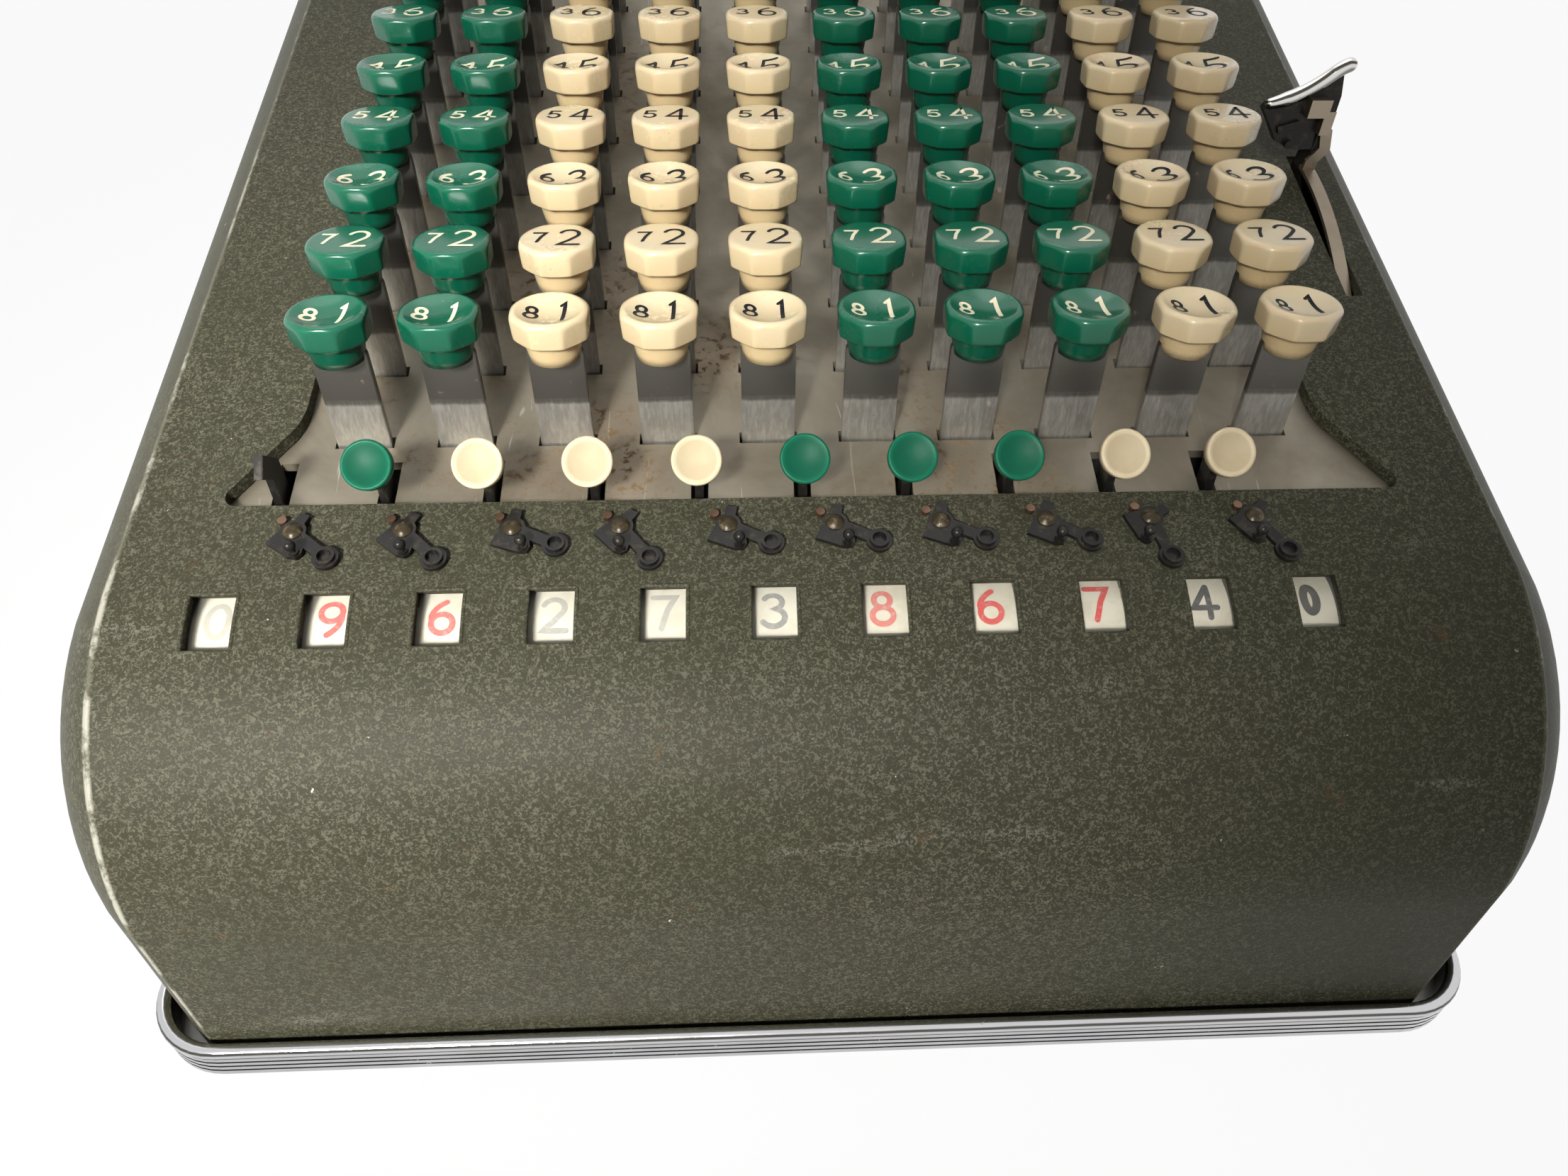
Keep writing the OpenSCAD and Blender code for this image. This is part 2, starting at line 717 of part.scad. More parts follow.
// Black lever arm on the end of the shaft, with a bracket under the finger bar
module zero_lever() color([0.07, 0.07, 0.07]) {
    reach = cover_strip_r + 13;
    on_arm() translate([-lever_t / 2, 0, 0]) rotate([90, 0, 90]) difference() {
        union() {
            cylinder(h = lever_t, r = 7);
            linear_extrude(lever_t) polygon([
                [-5, 0],
                [-2.6, reach - 16],
                [-2.6, reach - 3],
                [-1, reach],
                [2.6, reach],
                [2.6, reach - 16],
                [5, 0]
            ]);
        }
        translate([0, 0, -1]) cylinder(h = lever_t + 2, r = lever_shaft_r + seat);
    }
    at_arm_top(-1) linear_extrude(2.4) polygon([
        [1.2, -6.2],
        [-5, -6.4],
        [-9.6, -4.6],
        [-12.2, -0.8],
        [-14.4, 2.2],
        [-13.6, 3.4],
        [-7.4, 5.2],
        [-3.6, 7.2],
        [0.9, 9.6],
        [1.9, 5],
        [1.9, 1]
    ]);
    at_arm_top(1) rotate(16) translate([-10.4, 0.2, 0]) cube([4.6, 1.5, 1.2]);
    at_arm_top(1) translate([-6.9, -5, 0]) cylinder(h = 1.6, r = 0.9);
}

// Straight piece of rod between two places, a hair short at each end
module rod_piece(from, to, r) {
    hair = 0.15;
    run = to - from;
    translate(from) rotate([0, 90, atan2(run[1], run[0])]) translate([0, 0, hair])
        cylinder(h = norm(run) - 2 * hair, r = r);
}

// Bright finger bar: a round rod bent up towards its outer end, in short straight pieces
// with a ball at each bend
module finger_bar() color([0.85, 0.85, 0.86]) {
    rod = 1.5;
    ball_r = 1.55;
    thin_r = 1.15;
    tip = [-13.4, 3.4];
    rise = 12;
    bend_r = 26;
    end_bend_r = 9;
    sweep = (finger_bar_l - 3.3) / bend_r * 180 / PI;
    turn = rise + sweep;
    bend_at = tip + bend_r * [-sin(rise), cos(rise)];
    joint = bend_at + bend_r * [sin(turn), -cos(turn)];
    end_at = joint + end_bend_r * [sin(turn), -cos(turn)];
    path = concat(
        [for (a = [rise:sweep / 5:turn + eps]) bend_at + bend_r * [sin(a), -cos(a)]],
        [for (a = [turn - 7:-7:turn - 21]) end_at - end_bend_r * [sin(a), -cos(a)]]
    );
    at_arm_top(1.4) {
        for (i = [1:len(path) - 1]) rod_piece(path[i - 1], path[i], rod);
        for (i = [0:len(path) - 1]) {
            along = path[min(i + 1, len(path) - 1)] - path[max(i - 1, 0)];
            translate(path[i]) rotate([0, 90, atan2(along[1], along[0])]) sphere(ball_r);
        }
        translate(tip) rotate([0, -90, rise]) {
            translate([0, 0, 0.2]) cylinder(h = 1.2, r1 = rod, r2 = thin_r);
            translate([0, 0, 1.4]) sphere(thin_r + 0.1);
        }
    }
}

// Thin bright strip, bent about the shaft, that fills the slot ahead of the lever, with
// the cranked strap that ties it to the arm and the block and clip at the strap's top
module slot_strip() color([0.78, 0.76, 0.72]) {
    strip_w = 2.8;
    strip_sweep = 31;
    thick = 0.8;
    foot = cover_strip_r + 0.3;
    on_arm() translate([-strip_w / 2, 0, 0]) rotate([0, 90, 0]) rotate([0, 0, 181])
        rotate_extrude(angle = strip_sweep)
            translate([cover_strip_r, 0]) square([thick, strip_w]);
    on_arm() translate([0, -2.5, 0]) rotate([90, 0, 0]) linear_extrude(thick) polygon([
        [-strip_w / 2, foot],
        [strip_w / 2, foot],
        [strip_w / 2, foot + 2],
        [3, foot + 5],
        [1.6, foot + 9.6],
        [-1, foot + 9.6],
        [0.4, foot + 5.4],
        [-strip_w / 2, foot + 2.4]
    ]);
    at_arm_top(1.3) {
        translate([-5.3, 1, 0]) cube([4.6, 3.7, 2.4]);
        translate([-1.4, -2.7, 0]) cube([2.4, 4.9, 2.1]);
    }
}

// Base

module round_plate(half_x, half_y, corner) {
    square([2 * half_x, 2 * (half_y - corner)], center = true);
    square([2 * (half_x - corner), 2 * half_y], center = true);
    for (sx = [-1, 1], sy = [-1, 1])
        translate([sx * (half_x - corner), sy * (half_y - corner)]) circle(corner);
}

// Pan that closes the bottom and carries the side plates
module base_pan() color([0.2, 0.2, 0.19]) {
    difference() {
        translate([0, 0, foot_h]) linear_extrude(pan_t)
            round_plate(band_half_x - band_t, band_half_y - band_t, band_corner - band_t);
        for (at = screws) translate([at[0], at[1], 0]) cylinder(h = 30, r = screw_r + seat);
        for (at = pan_holes) translate([at[0], at[1], 0]) cylinder(h = 30, r = 9);
    }
}

// Section of the band: grooved outside, with a rolled lip on top
module band_section() {
    lip_r = band_t / 2 + 0.2;
    groove = 0.5;
    difference() {
        square([band_t, band_h - lip_r]);
        for (g = [1:4]) translate([band_t - groove, g * 1.6 - 0.3]) square([groove + 1, 0.6]);
    }
    translate([band_t / 2, band_h - lip_r]) circle(lip_r);
}

module base_band() color([0.8, 0.8, 0.82]) {
    run_x = 2 * (band_half_x - band_corner);
    run_y = 2 * (band_half_y - band_corner);
    translate([0, 0, band_z]) for (turn = [0:3]) {
        half_a = turn % 2 == 0 ? band_half_x : band_half_y;
        run = turn % 2 == 0 ? run_y : run_x;
        rotate(turn * 90) {
            translate([half_a - band_t, run / 2, 0]) rotate([90, 0, 0])
                linear_extrude(run) band_section();
            translate([half_a - band_corner, run / 2, 0]) rotate_extrude(angle = 90)
                translate([band_corner - band_t, 0]) band_section();
        }
    }
}

module feet() color([0.06, 0.06, 0.06]) {
    for (at = feet_at) translate([at[0], at[1], 0]) {
        cylinder(h = 1, r1 = foot_r - 1, r2 = foot_r);
        translate([0, 0, 1]) cylinder(h = foot_h - 1, r = foot_r);
    }
}

// Screws up through the pan into the housing's bosses
module cover_screws() color([0.7, 0.7, 0.68]) {
    for (at = screws) translate([at[0], at[1], 0]) {
        translate([0, 0, foot_h - 2]) cylinder(h = 2, r = 4);
        translate([0, 0, foot_h - 0.5]) cylinder(h = 16, r = screw_r);
    }
}

top_cover();
window_strip();
key_plate();
guide_plate();
side_frames();
cross_rods();
wheel_shaft();
cutoff_shaft();
base_pan();
base_band();
feet();
cover_screws();
pointer_rivets();
stop_pins();
zero_shaft();
zero_lever();
finger_bar();
slot_strip();
for (c = [1:columns]) key_column(c);
for (k = [1:wheels]) numeral_wheel(k);
for (c = [1:columns]) decimal_pointer(c);
for (c = [1:columns]) cutoff_lever(c);
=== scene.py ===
import math

import bmesh
import bpy
from mathutils import Euler, Matrix, Vector


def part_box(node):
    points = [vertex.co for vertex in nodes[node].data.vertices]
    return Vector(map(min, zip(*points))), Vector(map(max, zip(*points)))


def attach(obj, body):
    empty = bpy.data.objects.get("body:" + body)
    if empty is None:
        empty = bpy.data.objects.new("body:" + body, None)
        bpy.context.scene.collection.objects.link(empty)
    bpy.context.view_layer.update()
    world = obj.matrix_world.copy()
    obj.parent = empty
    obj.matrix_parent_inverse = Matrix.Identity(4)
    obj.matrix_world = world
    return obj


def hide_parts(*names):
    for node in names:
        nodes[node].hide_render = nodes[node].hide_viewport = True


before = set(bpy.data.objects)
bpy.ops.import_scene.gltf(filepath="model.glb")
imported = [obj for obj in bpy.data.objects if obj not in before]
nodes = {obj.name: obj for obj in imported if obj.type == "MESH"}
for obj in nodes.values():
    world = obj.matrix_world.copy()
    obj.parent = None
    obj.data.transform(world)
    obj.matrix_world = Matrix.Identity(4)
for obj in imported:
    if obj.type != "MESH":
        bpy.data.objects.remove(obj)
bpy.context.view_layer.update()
mm = 0.001


# Places shared by several pieces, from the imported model's own layout
layout = {
    "columns": 10,
    "rows": 9,
    "pitch": 19.05 * mm,      # column to column
    "rowPitch": 17.1 * mm,    # row to row
    "rowRise": 5.4 * mm,      # each row stands this much higher
    "rowOneY": -109.5 * mm,
    "keyTopZ": 138 * mm,      # key tops of the first row
    "plateZ": 110.8 * mm,     # key plate below the first row
    "deckZ": 113.407 * mm,    # painted deck there
    "windowLean": math.radians(27.09),
    "buttonRight": 6 * mm,    # cutoff buttons stand this far right of a column
    "buttonSeat": (-125.4 * mm, 116.5 * mm),
    "buttonLean": math.radians(42),
}
rise = layout["rowRise"] / layout["rowPitch"]
columns = range(1, layout["columns"] + 1)
wheels = range(1, layout["columns"] + 2)      # the left one has no keys
greenColumns = (1, 2, 6, 7, 8)
greenLevers = (2, 6, 7, 8)


def columnX(c):
    return (c - (layout["columns"] + 1) / 2) * layout["pitch"]


def inScene(thing):
    bpy.context.scene.collection.objects.link(thing)
    return thing


def moveMesh(piece, x, y, z):
    piece.data.transform(Matrix.Translation((x, y, z)))


# Node trees: a socket that can be added and multiplied, and one way to place a node

class Wire:
    def __init__(self, tree, socket):
        self.tree, self.socket = tree, socket

    def math(self, kind, other, turned=False):
        pair = (other, self) if turned else (self, other)
        return self.tree.add("ShaderNodeMath", {"operation": kind}, {0: pair[0], 1: pair[1]})[0]

    def alone(self, kind):
        return self.math(kind, 0.0)

    def __add__(self, other): return self.math("ADD", other)
    def __radd__(self, other): return self.math("ADD", other, True)
    def __sub__(self, other): return self.math("SUBTRACT", other)
    def __rsub__(self, other): return self.math("SUBTRACT", other, True)
    def __mul__(self, other): return self.math("MULTIPLY", other)
    def __rmul__(self, other): return self.math("MULTIPLY", other, True)
    def __truediv__(self, other): return self.math("DIVIDE", other)
    def __rtruediv__(self, other): return self.math("DIVIDE", other, True)
    def __abs__(self): return self.alone("ABSOLUTE")
    def __gt__(self, other): return self.math("GREATER_THAN", other)


class Placed:
    def __init__(self, tree, node):
        self.tree, self.node = tree, node

    def __getitem__(self, key):
        return Wire(self.tree, self.node.outputs[key])


class Tree:
    def __init__(self, group):
        self.group = group

    def add(self, kind, settings=None, values=None):
        node = self.group.nodes.new(kind)
        for name, value in (settings or {}).items():
            setattr(node, name, value)
        for key, value in (values or {}).items():
            socket = node.inputs[key]
            if isinstance(value, Wire):
                self.group.links.new(value.socket, socket)
            elif hasattr(socket, "default_value"):
                if socket.type == "RGBA" and len(value) == 3:
                    value = tuple(value) + (1,)
                socket.default_value = value
        return Placed(self, node)

    def spread(self, value, low, high, to=(0.0, 1.0)):
        return self.add("ShaderNodeMapRange", {"clamp": True}, {"Value": value,
                        "From Min": low, "From Max": high, "To Min": to[0], "To Max": to[1]})[0]

    def mix(self, factor, a, b):
        return self.add("ShaderNodeMix", {"data_type": "RGBA"}, {0: factor, 6: a, 7: b})[2]

    def larger(self, a, b):
        return a.math("MAXIMUM", b)

    def far(self, a, b):
        return (a * a + b * b).alone("SQRT")

    def axes(self, where):
        split = self.add("ShaderNodeSeparateXYZ", {}, {0: where})
        return split[0], split[1], split[2]

    def roundAxis(self, x, angle, out):
        # the point at this distance and angle round a shaft that lies along X
        return self.add("ShaderNodeCombineXYZ", {}, {
            0: x, 1: out * angle.alone("SINE") * -1.0, 2: out * angle.alone("COSINE")})

    def seenDirectly(self):
        # 1 for what the camera, a mirror or glass sees, 0 for the light that falls on things
        rays = self.add("ShaderNodeLightPath")
        return self.larger(self.larger(rays["Is Camera Ray"], rays["Is Glossy Ray"]),
                           rays["Is Transmission Ray"])


class Finish(Tree):
    # A material whose varying values go to the shader's varying sockets
    def __init__(self, name, fixed):
        self.material = bpy.data.materials.new(name)
        self.material.use_nodes = True
        super().__init__(self.material.node_tree)
        self.group.nodes.clear()
        self.shader = self.add("ShaderNodeBsdfPrincipled", {}, fixed)
        self.output = self.add("ShaderNodeOutputMaterial", {}, {"Surface": self.shader["BSDF"]})
        self.where = self.add("ShaderNodeTexCoord")["Object"]
        self.x, self.y, self.z = self.axes(self.where)

    def set(self, name, value):
        self.group.links.new(value.socket, self.shader.node.inputs[name])

    def noise(self, scale, detail, roughness, distortion=0.0):
        # patches per metre, or three such numbers where the pattern is stretched
        where = self.where
        if isinstance(scale, tuple):
            stretch = {"operation": "MULTIPLY"}
            where, scale = self.add("ShaderNodeVectorMath", stretch, {0: where, 1: scale})[0], 1.0
        return self.add("ShaderNodeTexNoise", {}, {"Vector": where, "Scale": scale,
                        "Detail": detail, "Roughness": roughness, "Distortion": distortion})[0]

    def bump(self, height, strength, distance):
        bumped = self.add("ShaderNodeBump", {}, {"Strength": strength, "Distance": distance,
                                                "Height": height})
        self.set("Normal", bumped[0])


# Painted housing: hammered olive enamel with pale flecks, scuffs, worn edges and a painted
# highlight along its crisp top edges
enamel = {
    "dark": (0.034, 0.0325, 0.020),
    "light": (0.180, 0.177, 0.128),
    "bare": (0.62, 0.60, 0.52),
    "scuffed": (0.36, 0.35, 0.30),
    "rust": (0.10, 0.050, 0.022),
    "fleck": 1350.0,          # flecks per metre
    "fineFleck": 2600.0,
    "fleckCover": 0.62,
    "cloud": 16.0,            # broad changes of tone per metre
    "rub": (18.0, 70.0, 70.0),
    "chip": 330.0,
    "stain": 120.0,
    "brokenLine": 85.0,
    "roughness": (0.34, 0.54),
    "bump": 0.35,
    "edgeAt": 123.1 * mm,     # the crisp top edges, left and right
    "edgeWide": (0.1 * mm, 0.5 * mm),   # where the worn line is full, and where it ends
    "edgeMore": (0.2 * mm, 0.4 * mm),   # added to both where it is worn most
    # painted highlight along the crisp top edges: full out to the first distance, gone at the
    # second
    "paleEdge": (0.2 * mm, 0.8 * mm),
    "noseFrom": (-120 * mm, -70 * mm),
}


def makeEnamel():
    f = Finish("housingEnamel", {"Metallic": 0.0, "Coat Roughness": 0.3, "IOR": 1.42,
                                 "Specular IOR Level": 0.09})
    wormy = f.noise(enamel["fleck"], 3.0, 0.60, 1.3)
    fine = f.noise(enamel["fineFleck"], 2.0, 0.6)
    flecks = f.spread(wormy, 0.49, 0.60) * f.spread(fine, 0.36, 0.60, (0.55, 1.0))
    cloud = f.noise(enamel["cloud"], 3.0, 0.55)
    amount = f.spread(cloud, 0.32, 0.70, (0.50, 0.95))
    base = f.mix(flecks * amount * enamel["fleckCover"], enamel["dark"], enamel["light"])
    # scuffs: faint rubs across the nose, and a few pale chips
    rubs = f.noise(enamel["rub"], 4.0, 0.6, 0.6)
    scuff = f.spread(rubs, 0.64, 0.76) * f.spread(wormy, 0.42, 0.58)
    base = f.mix(scuff * 0.30, base, enamel["scuffed"])
    chips = f.spread(f.noise(enamel["chip"], 4.0, 0.7), 0.725, 0.75)
    base = f.mix(chips * 0.7, base, enamel["bare"])
    stain = f.spread(f.noise(enamel["stain"], 5.0, 0.7), 0.66, 0.74)
    base = f.mix(stain * 0.5, base, enamel["rust"])
    # worn line along the two crisp top edges, most on the left side of the nose
    edge = abs(abs(f.x) - enamel["edgeAt"])
    broken = f.noise(enamel["brokenLine"], 5.0, 0.72)
    most = f.spread(f.x, -0.01, 0.01, (1.0, 0.0)) * f.spread(f.y, *enamel["noseFrom"], (1.0, 0.25))
    near, far = (most * more + wide for wide, more in zip(enamel["edgeWide"], enamel["edgeMore"]))
    wear = f.spread(edge, near, far, (1.0, 0.0))
    line = wear * f.spread(broken + most * 0.07, 0.54, 0.62)
    base = f.mix(line * 0.55, base, enamel["bare"])
    # painted highlight: a paler line along both crisp top edges
    base = f.mix(f.spread(edge, *enamel["paleEdge"], (0.35, 0.0)), base, enamel["light"])
    f.set("Base Color", base)
    f.set("Roughness", f.spread(wormy, 0.3, 0.7, enamel["roughness"]) + cloud * 0.1 - 0.05)
    f.bump(wormy + fine * 0.25, enamel["bump"], 0.0003)
    return f.material


# Moulded key tops and buttons, and the flat steel stems under the keys
keyLook = {
    "green": ((0.003, 0.105, 0.055), (0.001, 0.060, 0.033)),   # face colour, and the darker tone for mottling and painted shade
    "cream": ((0.690, 0.570, 0.370), (0.580, 0.430, 0.225)),
    "grime": (0.10, 0.075, 0.045),
    "clouds": 45.0,            # changes of tone per metre
    "specks": 640.0,
    "dirt": 75.0,
    "sideFrom": (1.2 * mm, 4.2 * mm),   # painted shade: the sides darken this far below the top
    # painted shade: the neck darkens from this far below the top
    "neckFrom": (4.7 * mm, 5.4 * mm),
}


def makeKeyFinish(name, colour, mottleAndShadeTone, glow):
    f = Finish(name, {"IOR": 1.5, "Specular IOR Level": 0.38, "Coat Roughness": 0.1,
                      "Subsurface Weight": glow, "Subsurface Scale": 0.0025})
    row = ((f.y - layout["rowOneY"]) / layout["rowPitch"]).alone("ROUND")
    drop = row * layout["rowRise"] + layout["keyTopZ"] - f.z
    soft = f.noise(keyLook["clouds"], 3.0, 0.6)
    speck = f.noise(keyLook["specks"], 5.0, 0.7)
    plastic = f.mix(f.spread(soft, 0.40, 0.75) * 0.22, colour, mottleAndShadeTone)
    # painted shade: darker sides, then a darker neck, by depth below the key's top
    plastic = f.mix(f.spread(drop, *keyLook["sideFrom"], (0.0, 0.42)), plastic, mottleAndShadeTone)
    plastic = f.mix(f.spread(drop, *keyLook["neckFrom"], (0.0, 0.55)), plastic, mottleAndShadeTone)
    dirty = f.spread(f.noise(keyLook["dirt"], 4.0, 0.6), 0.50, 0.72)
    grime = f.spread(speck, 0.62, 0.72) * (0.12 + dirty * 0.5)
    plastic = f.mix(grime, plastic, keyLook["grime"])
    f.set("Base Color", plastic)
    f.set("Roughness", 0.20 + f.spread(speck, 0.3, 0.8) * 0.08 + dirty * 0.08)
    f.set("Coat Weight", 0.20 - dirty * 0.08)
    f.bump(soft * 0.3 + speck * 0.1, 0.12, 0.0003)
    return f.material


stemLook = {
    "steel": (0.33, 0.315, 0.28),
    "patina": (0.118, 0.110, 0.096),
    "brushed": (0.58, 0.57, 0.53),
    "line": (0.05, 0.045, 0.035),
    "rust": (0.22, 0.12, 0.055),
    "grain": (2100.0, 2100.0, 420.0),
    "darkFrom": (8.8 * mm, 10.0 * mm),  # patina and painted shade from here up, as height above the key plate
    "lineAt": 9.3 * mm,
    "lineWide": (0.2 * mm, 0.7 * mm),
    "waver": 1.0 * mm,
}


def makeStemSteel():
    # brushed near the plate, a dark line half way up, smooth and dark above it; that dark upper
    # part is patina with painted shade
    f = Finish("stemSteel", {})
    height = f.z - ((f.y - layout["rowOneY"]) * rise + layout["plateZ"])
    grain = f.noise(stemLook["grain"], 3.0, 0.6)
    blotch = f.noise(230.0, 4.0, 0.65)
    level = height + (blotch - 0.5) * stemLook["waver"]
    dark = f.spread(level, *stemLook["darkFrom"])
    line = f.spread(abs(level - stemLook["lineAt"]), *stemLook["lineWide"], (1.0, 0.0))
    brushed = (1.0 - dark) * f.spread(grain, 0.40, 0.70)
    # painted shade with patina on the upper part of the stems
    tone = f.mix(dark, stemLook["steel"], stemLook["patina"])
    tone = f.mix(brushed * 0.4, tone, stemLook["brushed"])
    tone = f.mix(line * 0.55, tone, stemLook["line"])
    rust = f.spread(f.noise(300.0, 5.0, 0.7), 0.64, 0.72)
    tone = f.mix(rust * 0.6, tone, stemLook["rust"])
    f.set("Base Color", tone)
    f.set("Metallic", 0.85 - rust * 0.7)
    f.set("Roughness", 0.30 + (1.0 - dark) * grain * 0.22 + dark * 0.06 + rust * 0.3)
    f.bump(grain * (1.0 - dark) + blotch * 0.3, 0.12, 0.0002)
    return f.material


buttonLook = {
    "green": keyLook["green"],
    "cream": ((0.60, 0.51, 0.35), (0.52, 0.41, 0.25)),
    "faceEdge": (3.4 * mm, 3.7 * mm),   # the painted shade of the dished face ends here, out from the middle
    # how dark the painted shade leaves the dished face
    "faceDark": 0.62,
}


def makeMoulding(name, colour, mottleAndShadeTone):
    # painted shade: the dished face is coloured darker than its rim, and is rougher too
    f = Finish(name, {"IOR": 1.5, "Specular IOR Level": 0.16})
    soft = f.noise(300.0, 4.0, 0.65)
    place = (f.x - columnX(0) - layout["buttonRight"]) / layout["pitch"]
    across = (place - place.alone("ROUND")) * layout["pitch"]
    seatY, seatZ = layout["buttonSeat"]
    along = ((f.y - seatY) * math.sin(layout["buttonLean"])
             + (f.z - seatZ) * math.cos(layout["buttonLean"]))
    face = f.spread(f.far(across, along), *buttonLook["faceEdge"], (1.0, 0.0))
    tone = f.mix(f.spread(soft, 0.40, 0.75) * 0.5, colour, mottleAndShadeTone)
    dishShadeTone = tuple(v * buttonLook["faceDark"] for v in mottleAndShadeTone)
    f.set("Base Color", f.mix(face * 0.45, tone, dishShadeTone))
    f.set("Roughness", 0.34 + soft * 0.14 + face * 0.12)
    f.bump(soft, 0.08, 0.0002)
    return f.material


# Bare steel sheet with fine rolling marks, stains and small rust spots
plateLook = {
    "steel": (0.235, 0.210, 0.165),
    "stain": (0.150, 0.128, 0.092),
    "scratch": (0.66, 0.64, 0.58),
    "rust": (0.15, 0.092, 0.036),
    "rustHalo": (0.22, 0.15, 0.09),
    "rustAt": ((-36, -118), (-19.5, -89), (-42, -107), (52, -85)),   # rustier places, in mm
    "rustWide": (3 * mm, 12 * mm),
    "rolled": (60.0, 1900.0, 1900.0),
    "scratched": (300.0, 22.0, 22.0),
}


def makePlateSteel():
    f = Finish("keyPlateSteel", {"Coat Weight": 0.0})
    rolled = f.noise(plateLook["rolled"], 3.0, 0.6)
    stains = f.noise(42.0, 5.0, 0.62, 0.4)
    spots = f.noise(560.0, 5.0, 0.75)
    patch = f.spread(f.noise(30.0, 3.0, 0.6), 0.54, 0.70)
    for x, y in plateLook["rustAt"]:
        far = f.far(f.x - x * mm, f.y - y * mm)
        patch = f.larger(patch, f.spread(far, *plateLook["rustWide"], (1.0, 0.0)))
    rust = f.spread(spots, 0.53, 0.61) * patch
    marks = f.noise(plateLook["scratched"], 3.0, 0.8, 1.2)
    tone = f.mix(f.spread(stains, 0.35, 0.7), plateLook["steel"], plateLook["stain"])
    tone = f.mix(f.spread(marks, 0.66, 0.70) * 0.3, tone, plateLook["scratch"])
    tone = f.mix(patch * 0.3, tone, plateLook["rustHalo"])
    tone = f.mix(rust, tone, plateLook["rust"])
    f.set("Base Color", tone)
    f.set("Metallic", 0.70 - rust * 0.65)
    f.set("Roughness", 0.34 + f.spread(stains, 0.3, 0.7) * 0.2 + rust * 0.3 + rolled * 0.06)
    f.bump(rolled * 0.4 + rust * 1.2, 0.15, 0.0002)
    return f.material


# Other metals: material, colour and roughness, or roughness, bright tone and the dark tone of a
# painted reflection
metals = {
    "steel": ("innerSteel", (0.33, 0.32, 0.30), 0.34),
    "shaft": ("groundSteel", (0.48, 0.47, 0.45), 0.22),
    "worn": ("stripSteel", (0.29, 0.24, 0.18), 0.24),
    "copper": ("stopCopper", (0.20, 0.12, 0.08), 0.30),
}
metalGrain = (500.0, 2400.0, 2400.0)
platingPit = (0.20, 0.14, 0.08)
platings = {
    "plating": ("bandPlating", 0.14, (0.58, 0.58, 0.59), (0.10, 0.095, 0.085)),
    "chrome": ("leverChrome", 0.08, (0.66, 0.65, 0.62), (0.075, 0.068, 0.055)),
}


def makePlainSteel(name, colour, rough):
    f = Finish(name, {})
    grain = f.noise(metalGrain, 3.0, 0.6)
    stains = f.noise(70.0, 4.0, 0.6)
    tone = f.mix(f.spread(stains, 0.4, 0.75) * 0.5, colour, tuple(v * 0.45 for v in colour))
    f.set("Base Color", tone)
    f.set("Metallic", 0.95 - stains * 0.15)
    f.set("Roughness", rough + grain * 0.16)
    f.bump(grain, 0.12, 0.0002)
    return f.material


def makeBrightPlating(name, rough, bright, dark):
    # painted reflection: the plating's lower slopes are coloured dark as if mirroring a dark table,
    # in bands that follow the surface's turn
    f = Finish(name, {"IOR": 1.5})
    nx, ny, nz = f.axes(f.add("ShaderNodeTexCoord")["Normal"])
    haze = f.noise(60.0, 4.0, 0.6)
    slope = nz + ny * 0.25 + nx * 0.12 + (haze - 0.5) * 0.15
    band = f.spread(slope, 0.62, 0.50) * f.spread(slope, 0.10, 0.24)
    low = f.spread(slope, -0.45, -0.20, (1.0, 0.0))
    pits = f.spread(f.noise(900.0, 4.0, 0.7), 0.64, 0.70) * f.spread(haze, 0.45, 0.7)
    # painted reflection: dark bands set by the surface's slope
    tone = f.mix(f.larger(band, low * 0.8), bright, dark)
    f.set("Base Color", f.mix(pits * 0.7, tone, platingPit))
    f.set("Metallic", 1.0 - pits * 0.7)
    f.set("Roughness", rough + f.spread(haze, 0.4, 0.8) * 0.10 + pits * 0.4)
    f.bump(haze, 0.05, 0.0002)
    return f.material


# Black finish rubbed through to bronze on the high places: its tone, and how much shows
blackLook = {
    "pointerBlack": ((0.012, 0.011, 0.010), 0.25),
    "rivetBronze": ((0.032, 0.023, 0.010), 0.75),
}
bareBronze = (0.20, 0.16, 0.11)


def makeBlackened(name):
    f = Finish(name, {"IOR": 1.5, "Specular IOR Level": 0.22})
    dark, shows = blackLook[name]
    wear = f.spread(f.noise(500.0, 5.0, 0.7), 0.52, 0.72)
    f.set("Base Color", f.mix(wear * shows, dark, bareBronze))
    f.set("Metallic", 0.15 + wear * 0.5)
    f.set("Roughness", 0.30 + wear * 0.22)
    f.bump(wear, 0.12, 0.0002)
    return f.material


ivoryLook = {
    "clean": (0.60, 0.57, 0.46),
    "dirty": (0.36, 0.28, 0.15),
    "dirt": 180.0,
}
stripLook = {
    "clear": (0.86, 0.84, 0.76),
    "cloudy": (0.70, 0.66, 0.54),
    "hazeAt": -30 * mm,       # the middle windows are a little clouded
    "hazeWide": (12 * mm, 40 * mm),
    "haze": 0.10,
}


def makeIvory():
    f = Finish("wheelIvory", {"IOR": 1.46})
    dirt = f.noise(ivoryLook["dirt"], 5.0, 0.7)
    spots = f.spread(dirt, 0.45, 0.75) * 0.45
    f.set("Base Color", f.mix(spots, ivoryLook["clean"], ivoryLook["dirty"]))
    f.set("Roughness", 0.42 + dirt * 0.2)
    f.bump(dirt, 0.05, 0.0002)
    return f.material


